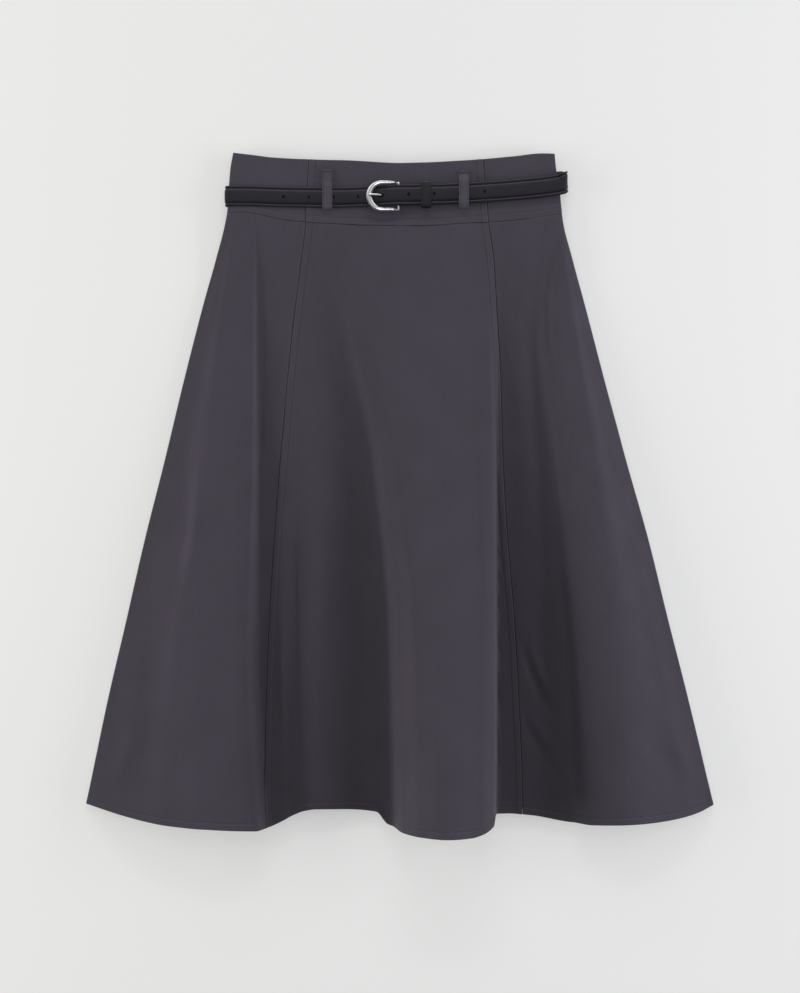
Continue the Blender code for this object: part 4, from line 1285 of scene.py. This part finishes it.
def make_belt_loop(name, x, path):
    is_back = name.startswith("back")
    outside = -1.0 if is_back else 1.0           # the back loops show from below
    base = 0.0 if is_back else float(belt_seat(x))
    path = rounded(path, 2.0)
    line = points_at(x, path[:, 0], base + path[:, 1])
    section = LOOP_SECTION * (1.0, outside)
    points = band_points(line, section, X_AXIS)
    across = np.broadcast_to(section[:, 0], points.shape[:2])
    along = np.broadcast_to(travelled(line)[:, None], points.shape[:2])
    edge = LOOP_SECTION[:, 0].max()
    pressed = np.maximum(bell(np.abs(across) - edge, LOOP_EDGE), LOOP_LIGHTENED)
    loop = make_piece(name + "_strip", points.reshape(-1, 3), band_faces(*points.shape[:2]),
                      suiting, {PRESSED: pressed.ravel()},
                      np.stack([across, along], axis=-1).reshape(-1, 2))
    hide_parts(name)

    side, up = band_axes(line, X_AXIS)
    ups = up * outside
    runs = []
    for groove in (-LOOP_GROOVE, LOOP_GROOVE):
        sewn = line + side * groove + ups * LOOP_GROOVE_LEVEL
        runs.append(stitches_along(sewn, ups, LOOP_STITCH, LOOP_STITCH_STEP))
    tack_at = np.arange(-LOOP_GROOVE, LOOP_GROOVE + 0.01, TACK_STEP)
    middle = points_along(line, [LOOP_TACK])[0] + ups[0] * LOOP_FACE
    starts = middle + tack_at[:, None] * X_AXIS
    stops = starts - Y_AXIS * TACK_STITCH
    runs.append((starts, stops, np.broadcast_to(ups[0], starts.shape)))
    make_stitches(name + "_stitches", runs, thread, LOOP_THREAD)


for name, x, path in LOOPS:
    make_belt_loop(name, x, path)
print("belt loops:", len(LOOPS))

# %% [markdown]
# ## The strap
#
# The strap is two layers of leather with a thin filler between them, which makes its middle
# swell, and its margins are stitched flat beside it.  One end is folded round the buckle's
# bar.  From there the strap goes under the tongue to the right side, along the back, round
# the left side and back over the bar, and the tongue's tip turns in round the right side.
# Its line is worked out leg by leg, as the belt would be threaded, and one section is carried
# along it.

# %% Line of the strap
STRAP = 2.0                 # thickness
FLAP = 1.0                  # thickness of the skived end that folds round the bar
BAR_X = -1.5                # middle of the buckle's bar
BAR = 2.4                   # diameter of the bar
BAR_LEVEL = GAP + FLAP + GAP + BAR / 2           # middle of the bar above the yoke
FLAP_END = 18.8             # x of the flap's end, below the strap
TURN_LEFT_X = -171.15       # middle of the strap's turn round the left side
TURN_RIGHT_X = 161.0        # middle of its turn round the right side
BACK_RUN_Z = 2.3            # middle of the strap's thickness below the back yoke
ONE_LAYER = GAP + STRAP / 2                      # middle of a strap that lies on the yoke
TWO_LAYERS = ONE_LAYER + STRAP + GAP             # middle of a second strap on top of it
TIP_TURN = math.radians(98)                      # how far round the right side the tip goes
STATION = 1.6               # between two stations of the strap
TURN_STATIONS = 24

tongue_level = smooth_line([
    (-172.0, ONE_LAYER), (-50.0, ONE_LAYER), (-30.0, 2.3), (-18.0, 4.3), (-6.0, 6.5),
    (0.0, 6.6), (8.0, 5.5), (14.0, 4.9), (33.0, 4.9), (41.0, TWO_LAYERS), (161.0, TWO_LAYERS),
])
under_level = smooth_line([
    (BAR_X, BAR_LEVEL + 2.0), (3.0, 4.2), (8.0, 2.8), (12.0, 2.6), (33.0, 2.6),
    (41.0, ONE_LAYER), (161.0, ONE_LAYER),
])
under_thickness = smooth_line([(BAR_X, FLAP), (2.0, FLAP), (8.0, STRAP), (161.0, STRAP)])


def stretch(start, stop):
    """x of the stations of a straight run, without its last one."""
    return np.linspace(start, stop, round(abs(stop - start) / STATION), endpoint=False)


def turned(x, z, radius, start, sweep, down_from, down_to, last=False):
    """Stations clockwise round a middle, from an angle measured from +X towards +Z."""
    share = np.linspace(0.0, 1.0, TURN_STATIONS, endpoint=last)
    angle = start - sweep * share
    down = mix(down_from, down_to, share)
    return points_at(x + radius * np.cos(angle), down, z + radius * np.sin(angle))


def strap_line():
    """Stations of the strap from its flap to its tip, and its thickness at each."""
    seat = float(belt_seat(BAR_X))
    bar_down = belt_front(BAR_X)
    flap_z = GAP + FLAP / 2
    front_z = float(belt_seat(TURN_RIGHT_X)) + ONE_LAYER
    middle_z = (front_z + BACK_RUN_Z) / 2
    inner = (front_z - BACK_RUN_Z) / 2
    right_front, right_back = belt_front(TURN_RIGHT_X), belt_back(TURN_RIGHT_X)
    left_front, left_back = belt_front(TURN_LEFT_X), belt_back(TURN_LEFT_X)
    flap = stretch(FLAP_END, BAR_X)
    under = stretch(BAR_X, TURN_RIGHT_X)
    back = stretch(TURN_RIGHT_X, TURN_LEFT_X)
    tongue = stretch(TURN_LEFT_X, TURN_RIGHT_X)
    legs = [
        (points_at(flap, belt_front(flap), belt_seat(flap) + flap_z), FLAP),
        (turned(BAR_X, seat + BAR_LEVEL, BAR_LEVEL - flap_z, -math.pi / 2, math.pi,
                bar_down, bar_down), FLAP),
        (points_at(under, belt_front(under), belt_seat(under) + under_level(under)),
         under_thickness(under)),
        (turned(TURN_RIGHT_X, middle_z, inner, math.pi / 2, math.pi, right_front, right_back),
         STRAP),
        (points_at(back, belt_back(back), BACK_RUN_Z), STRAP),
        (turned(TURN_LEFT_X, middle_z, inner, -math.pi / 2, math.pi, left_back, left_front),
         STRAP),
        (points_at(tongue, belt_front(tongue), belt_seat(tongue) + tongue_level(tongue)), STRAP),
        (turned(TURN_RIGHT_X, middle_z, inner + STRAP + GAP, math.pi / 2, TIP_TURN,
                right_front, right_back, last=True), STRAP),
    ]
    thickness = [np.broadcast_to(thick, len(leg)) for leg, thick in legs]
    return np.concatenate([leg for leg, _ in legs]), np.concatenate(thickness)


strap_stations, strap_thickness = strap_line()
print("strap length, mm:", round(float(travelled(strap_stations)[-1])))

# %% Strap with its holes
STRAP_HALF = 10.0
STRAP_RUBBED = 0.8          # width of the rubbed edges
STRAP_GROOVE = 7.45         # from the strap's middle line to each row of its stitches
STRAP_SECTION = mirrored([
    # across from the strap's middle, and out from it in shares of half its thickness
    (0.0, -1.0), (-5.0, -1.0), (-9.4, -1.0), (-9.8, -0.85), (-10.0, -0.4), (-9.96, 0.0),
    (-9.75, 0.26), (-9.3, 0.42), (-8.7, 0.48), (-8.2, 0.42), (-7.85, 0.24), (-7.6, 0.02),
    (-STRAP_GROOVE, -0.06), (-7.15, -0.02), (-6.95, 0.2), (-6.75, 0.48), (-6.4, 0.72),
    (-5.8, 0.88), (-4.6, 0.99), (-2.5, 1.05), (0.0, 1.07),
])
END_ROUNDING = [(0.0, 0.72), (0.12, 0.88), (0.35, 0.97)]     # distance in, and size there
HOLES = (-115.9, -90.5, -66.0, -41.8, 8.5, 33.9, 58.6, 84.1)
HOLE_HALF = (1.25, 1.7)     # along the strap and across it
HOLE_SIDES = 28
HOLE_CUT = 6.0              # height of the shape that cuts a hole through the tongue only
PRONG_HOLE = (-20.8, -15.6)                      # x of its ends
PRONG_HOLE_HALF = 1.6
PRONG_HOLE_CUT = (1.0, 9.0)                      # above the yoke
FOLD_SLOT = (BAR_X - 4.0, BAR_X + 3.0)           # x of the slot for the prong's eye
FOLD_SLOT_HALF = 2.0


def rounded_ends(line, thickness):
    """Stations, and a size for the section at each, with the two cut ends rounded over."""
    reached = travelled(line)
    into = np.minimum(reached, reached[-1] - reached)
    marks = np.array([distance for distance, _ in END_ROUNDING])
    inner = reached[into > marks[-1] + 0.2]
    at = np.concatenate([marks, inner, (reached[-1] - marks)[::-1]])
    size = np.ones(len(at))
    size[:len(marks)] = [share for _, share in END_ROUNDING]
    size[-len(marks):] = size[:len(marks)][::-1]
    return points_along(line, at), np.interp(at, reached, thickness), size


def slot_cutter(middle_x, down, half_x, half_y, low, high):
    """A prism with an oval or a long round-ended outline, to cut a hole with."""
    angle = np.arange(HOLE_SIDES) * math.tau / HOLE_SIDES
    if half_x > 1.5 * half_y:
        x = middle_x + half_y * np.cos(angle) + np.sign(np.cos(angle)) * (half_x - half_y)
    else:
        x = middle_x + half_x * np.cos(angle)
    y = down + half_y * np.sin(angle)
    rings = np.stack([points_at(x, y, low), points_at(x, y, high)])
    return rings, band_faces(2, HOLE_SIDES)


def cut(piece, cutters):
    """Cut shapes out of a piece, and drop them."""
    tool = bpy.data.objects.new("holes", plain_mesh("holes", *joined(cutters)))
    bpy.context.scene.collection.objects.link(tool)
    cutting = piece.modifiers.new("holes", "BOOLEAN")
    cutting.operation = "DIFFERENCE"
    cutting.solver = "EXACT"
    cutting.object = tool
    graph = bpy.context.evaluated_depsgraph_get()
    plain = piece.data
    piece.data = bpy.data.meshes.new_from_object(piece.evaluated_get(graph))
    piece.modifiers.clear()
    bpy.data.objects.remove(tool, do_unlink=True)
    bpy.data.meshes.remove(plain)
    smooth(piece.data)


line, thickness, size = rounded_ends(strap_stations, strap_thickness)
half_width = (STRAP_HALF - (1 - size))[:, None]
sections = np.stack([np.clip(STRAP_SECTION[:, 0], -half_width, half_width),
                     np.outer(size * thickness / 2, STRAP_SECTION[:, 1])], axis=-1)
points = band_points(line, sections, Y_AXIS)
rubbed = bell(np.abs(STRAP_SECTION[:, 0]) - STRAP_HALF, STRAP_RUBBED)
strap = make_piece("belt_strap_leather", points.reshape(-1, 3), band_faces(*points.shape[:2]),
                   leather, {PRESSED: np.tile(rubbed, len(points))})

cutters = []
for x in HOLES:
    low = float(belt_seat(x) + tongue_level(x)) - STRAP / 2 - GAP / 2
    cutters.append(slot_cutter(x, belt_front(x), *HOLE_HALF, low, low + HOLE_CUT))
prong_x = sum(PRONG_HOLE) / 2
prong_down = float(belt_front(prong_x))
prong_seat = float(belt_seat(prong_x))
cutters.append(slot_cutter(prong_x, prong_down, (PRONG_HOLE[1] - PRONG_HOLE[0]) / 2,
                           PRONG_HOLE_HALF, *(prong_seat + z for z in PRONG_HOLE_CUT)))
bar_seat = float(belt_seat(BAR_X))
fold_top = bar_seat + BAR_LEVEL + BAR / 2 + GAP + FLAP
cutters.append(slot_cutter(sum(FOLD_SLOT) / 2, float(belt_front(BAR_X)),
                           (FOLD_SLOT[1] - FOLD_SLOT[0]) / 2, FOLD_SLOT_HALF, bar_seat - 1.0,
                           fold_top + GAP / 2))
cut(strap, cutters)
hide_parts("belt_strap")
print("strap faces:", len(strap.data.polygons))

# %% [markdown]
# ### Its stitching
#
# Both margins are sewn in a fine black thread that sinks into the groove beside the padding.
# A painted row of dashes would vanish at an angle, so each stitch is its own short rod here
# as well.

# %% Stitches of the strap
BELT_STITCH = 1.7
BELT_STITCH_STEP = 2.15
BELT_THREAD = 0.16
BELT_THREAD_LEVEL = -0.04   # of the stitches, in shares of half the strap's thickness
SEWN = (12.0, -4.0)         # first and last part of the strap without stitches

side, up = band_axes(line, Y_AXIS)
sewn = travelled(line)
middle = (sewn > SEWN[0]) & (sewn < sewn[-1] + SEWN[1])
runs = []
for groove in (-STRAP_GROOVE, STRAP_GROOVE):
    row = line + side * groove + up * (BELT_THREAD_LEVEL * thickness / 2)[:, None]
    runs.append(stitches_along(row[middle], up[middle], BELT_STITCH, BELT_STITCH_STEP))
make_stitches("belt_strap_stitches", runs, belt_thread, BELT_THREAD)
print("stitches on the strap:", sum(len(starts) for starts, _, _ in runs))

# %% [markdown]
# ## The keeper
#
# The keeper is a loop of leather that slides on the belt and holds the tongue down.  It is
# one short band, closed on itself round both layers, with a line creased along each edge.

# %% Keeper
KEEPER = (21.1, 30.8)       # x of its two edges
KEEPER_HALF = 13.7          # half its length across the belt
KEEPER_WALL = 1.0
KEEPER_TOP = 7.2            # above the yoke
KEEPER_CORNER = 2.2         # radius of the middle of its wall at a corner
CORNER_POINTS = 9
KEEPER_RUBBED = 0.7         # width of the rubbed edges
KEEPER_SECTION = mirrored([
    # across from the keeper's middle, and out from the middle of its wall
    (0.0, -0.5), (-4.4, -0.5), (-4.75, -0.3), (-4.85, 0.0), (-4.78, 0.28), (-4.55, 0.44),
    (-4.2, 0.5), (-3.75, 0.42), (-3.45, 0.18), (-3.2, 0.14), (-2.95, 0.3), (-2.5, 0.47),
    (-1.0, 0.5), (0.0, 0.5),
])

keeper_x = sum(KEEPER) / 2
keeper_seat = float(belt_seat(keeper_x))
half_y = KEEPER_HALF - KEEPER_WALL / 2
low = keeper_seat + GAP + KEEPER_WALL / 2
high = keeper_seat + KEEPER_TOP - KEEPER_WALL / 2
keeper_down = float(belt_front(keeper_x))
straight = half_y - KEEPER_CORNER
corners = [(straight, low + KEEPER_CORNER), (straight, high - KEEPER_CORNER),
           (-straight, high - KEEPER_CORNER), (-straight, low + KEEPER_CORNER)]
line = []
for number, (y, z) in enumerate(corners):
    angle = (number - 1) * math.pi / 2 + np.linspace(0.0, math.pi / 2, CORNER_POINTS)
    line.append(points_at(keeper_x, keeper_down - y - KEEPER_CORNER * np.cos(angle),
                          z + KEEPER_CORNER * np.sin(angle)))
line = np.concatenate(line)
points = band_points(line, KEEPER_SECTION, X_AXIS, closed=True)
rubbed = bell(np.abs(KEEPER_SECTION[:, 0]) - KEEPER_SECTION[:, 0].max(), KEEPER_RUBBED)
keeper = make_piece("belt_keeper_leather", points.reshape(-1, 3),
                    band_faces(*points.shape[:2], closed=True), leather,
                    {PRESSED: np.tile(rubbed, len(points))})
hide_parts("belt_keeper")
print("keeper, mm:", [round(float(size), 1) for size in np.ptp(points.reshape(-1, 3), axis=0)])

# %% [markdown]
# ## The buckle
#
# The frame is a horseshoe of steel, cast with two rounded ridges and a shallow hollow between
# them, and then polished.  Where its surface leans towards the top softbox it mirrors the
# bright side of the room, and elsewhere the dim side, so light and dark lines run round it.
# Its arms bend down at their ends to the bar, which lies below the tongue.  The prong is a
# bent wire with its eye round the bar, and it goes up through the tongue and rests on the
# frame.

# %% Frame and bar
BUCKLE_DOWN = 46.0          # middle of the buckle
BUCKLE_RADIUS = 13.35       # of the middle line of its round end
BUCKLE_ROUND_X = -17.3      # where the straight arms meet the round end
BUCKLE_THICKNESS = 2.6
BOW_STEPS = 72
ARM_BEND_X = -7.0           # where the arms start to bend down
BEND_STEPS, ARM_STEPS = 16, 10
FRAME_SECTION = mirrored(rounded([
    # shares of half the frame's width and of half its thickness
    (0.0, -1.0), (-0.8, -1.0), (-1.0, -0.5), (-1.0, 0.2), (-0.5, 0.96), (-0.28, 1.0),
    (0.0, 0.78),
], 0.25, cuts=2).tolist())
frame_level = smooth_line([
    (-31.0, 6.9), (-17.3, 6.1), (-8.0, 5.6), (-6.2, 5.2), (-5.2, 4.0), (-4.4, 2.9),
    (BAR_X, BAR_LEVEL),
])
frame_width = smooth_line([(-31.0, 5.4), (-17.3, 3.8), (-6.0, 3.3), (-4.6, 2.2), (BAR_X, 1.8)])

arm = np.concatenate([np.linspace(BAR_X, ARM_BEND_X, BEND_STEPS, endpoint=False),
                      np.linspace(ARM_BEND_X, BUCKLE_ROUND_X, ARM_STEPS, endpoint=False)])
angle = np.linspace(0.0, math.pi, BOW_STEPS)
xs = np.concatenate([arm, BUCKLE_ROUND_X - BUCKLE_RADIUS * np.sin(angle), arm[::-1]])
sides = np.concatenate([np.ones(len(arm)), np.cos(angle), -np.ones(len(arm))])
line = points_at(xs, BUCKLE_DOWN - sides * BUCKLE_RADIUS, bar_seat + frame_level(xs))
forward = unit(np.gradient(line, axis=0))
across = unit(np.cross(forward, [0.0, 0.0, 1.0]))
up = np.cross(across, forward)
wide = (frame_width(xs) / 2)[:, None, None]
section_across = FRAME_SECTION[None, :, :1] * wide
section_up = FRAME_SECTION[None, :, 1:] * BUCKLE_THICKNESS / 2
frame_points = line[:, None] + across[:, None] * section_across + up[:, None] * section_up

ROD = 24                    # sides of a round rod
BAR_END = [(1.1, 0.55), (0.9, 0.9), (0.4, 1.15), (-0.5, BAR / 2)]     # y past the arm, radius
BAR_STATIONS = np.arange(-12.4, 12.5, 0.4)       # y of the stations between the two ends
around = np.arange(ROD) * math.tau / ROD
bar_ends = [(BUCKLE_RADIUS + past, radius) for past, radius in BAR_END]
bar_profile = ([(-y, radius) for y, radius in bar_ends]
               + [(y, BAR / 2) for y in BAR_STATIONS] + bar_ends[::-1])
bar_points = np.array([
    points_at(BAR_X + radius * np.cos(around), BUCKLE_DOWN + y,
              bar_seat + BAR_LEVEL + radius * np.sin(around))
    for y, radius in bar_profile])
points, faces = joined([(frame_points, band_faces(*frame_points.shape[:2])),
                        (bar_points, band_faces(*bar_points.shape[:2]))])
buckle = make_piece("buckle_frame_steel", points, faces, steel)
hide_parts("buckle_frame")
print("buckle, mm:", [round(float(size), 1) for size in np.ptp(points, axis=0)])

# %% Prong
PRONG_PATH = [
    # x, level above the yoke, radius
    (-3.4, 2.8, 1.1), (-8.0, 2.6, 1.1), (-15.4, 2.4, 1.1), (-17.0, 3.1, 1.1),
    (-18.1, 4.6, 1.1), (-19.2, 6.2, 1.1), (-21.6, 7.8, 1.05), (-26.0, 9.0, 1.0),
    (-29.0, 9.6, 0.95), (-30.6, 9.8, 0.85), (-31.0, 9.8, 0.5),
]
PRONG_EYE = 2.35            # radius of the prong's eye on the bar
PRONG_EYE_HALF = 1.3
PRONG_BORE = BAR / 2 + 0.25
PRONG_STEP = 1.6            # between two points of its path, before its corners are cut
EYE_STEPS = 40

path = rounded(PRONG_PATH, PRONG_STEP)
line = points_at(path[:, 0], prong_down, bar_seat + path[:, 1])
circle = np.stack([np.cos(around), np.sin(around)], axis=-1)
shaft = band_points(line, circle * path[:, 2][:, None, None], Y_AXIS)

eye_middle = (PRONG_EYE + PRONG_BORE) / 2
eye_wall = (PRONG_EYE - PRONG_BORE) / 2
eye_section = np.array([
    (-0.75, -1), (0.75, -1), (1, -0.6), (1, 0.6), (0.75, 1), (-0.75, 1), (-1, 0.6), (-1, -0.6),
]) * (PRONG_EYE_HALF, eye_wall)
turn = np.arange(EYE_STEPS) * math.tau / EYE_STEPS
ring = points_at(BAR_X + eye_middle * np.cos(turn), prong_down,
                 bar_seat + BAR_LEVEL + eye_middle * np.sin(turn))
eye = band_points(ring, eye_section, Y_AXIS, closed=True)
points, faces = joined([(shaft, band_faces(*shaft.shape[:2])),
                        (eye, band_faces(*eye.shape[:2], closed=True))])
prong = make_piece("buckle_prong_steel", points, faces, steel)
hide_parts("buckle_prong")
print("prong, mm:", [round(float(size), 1) for size in np.ptp(points, axis=0)])
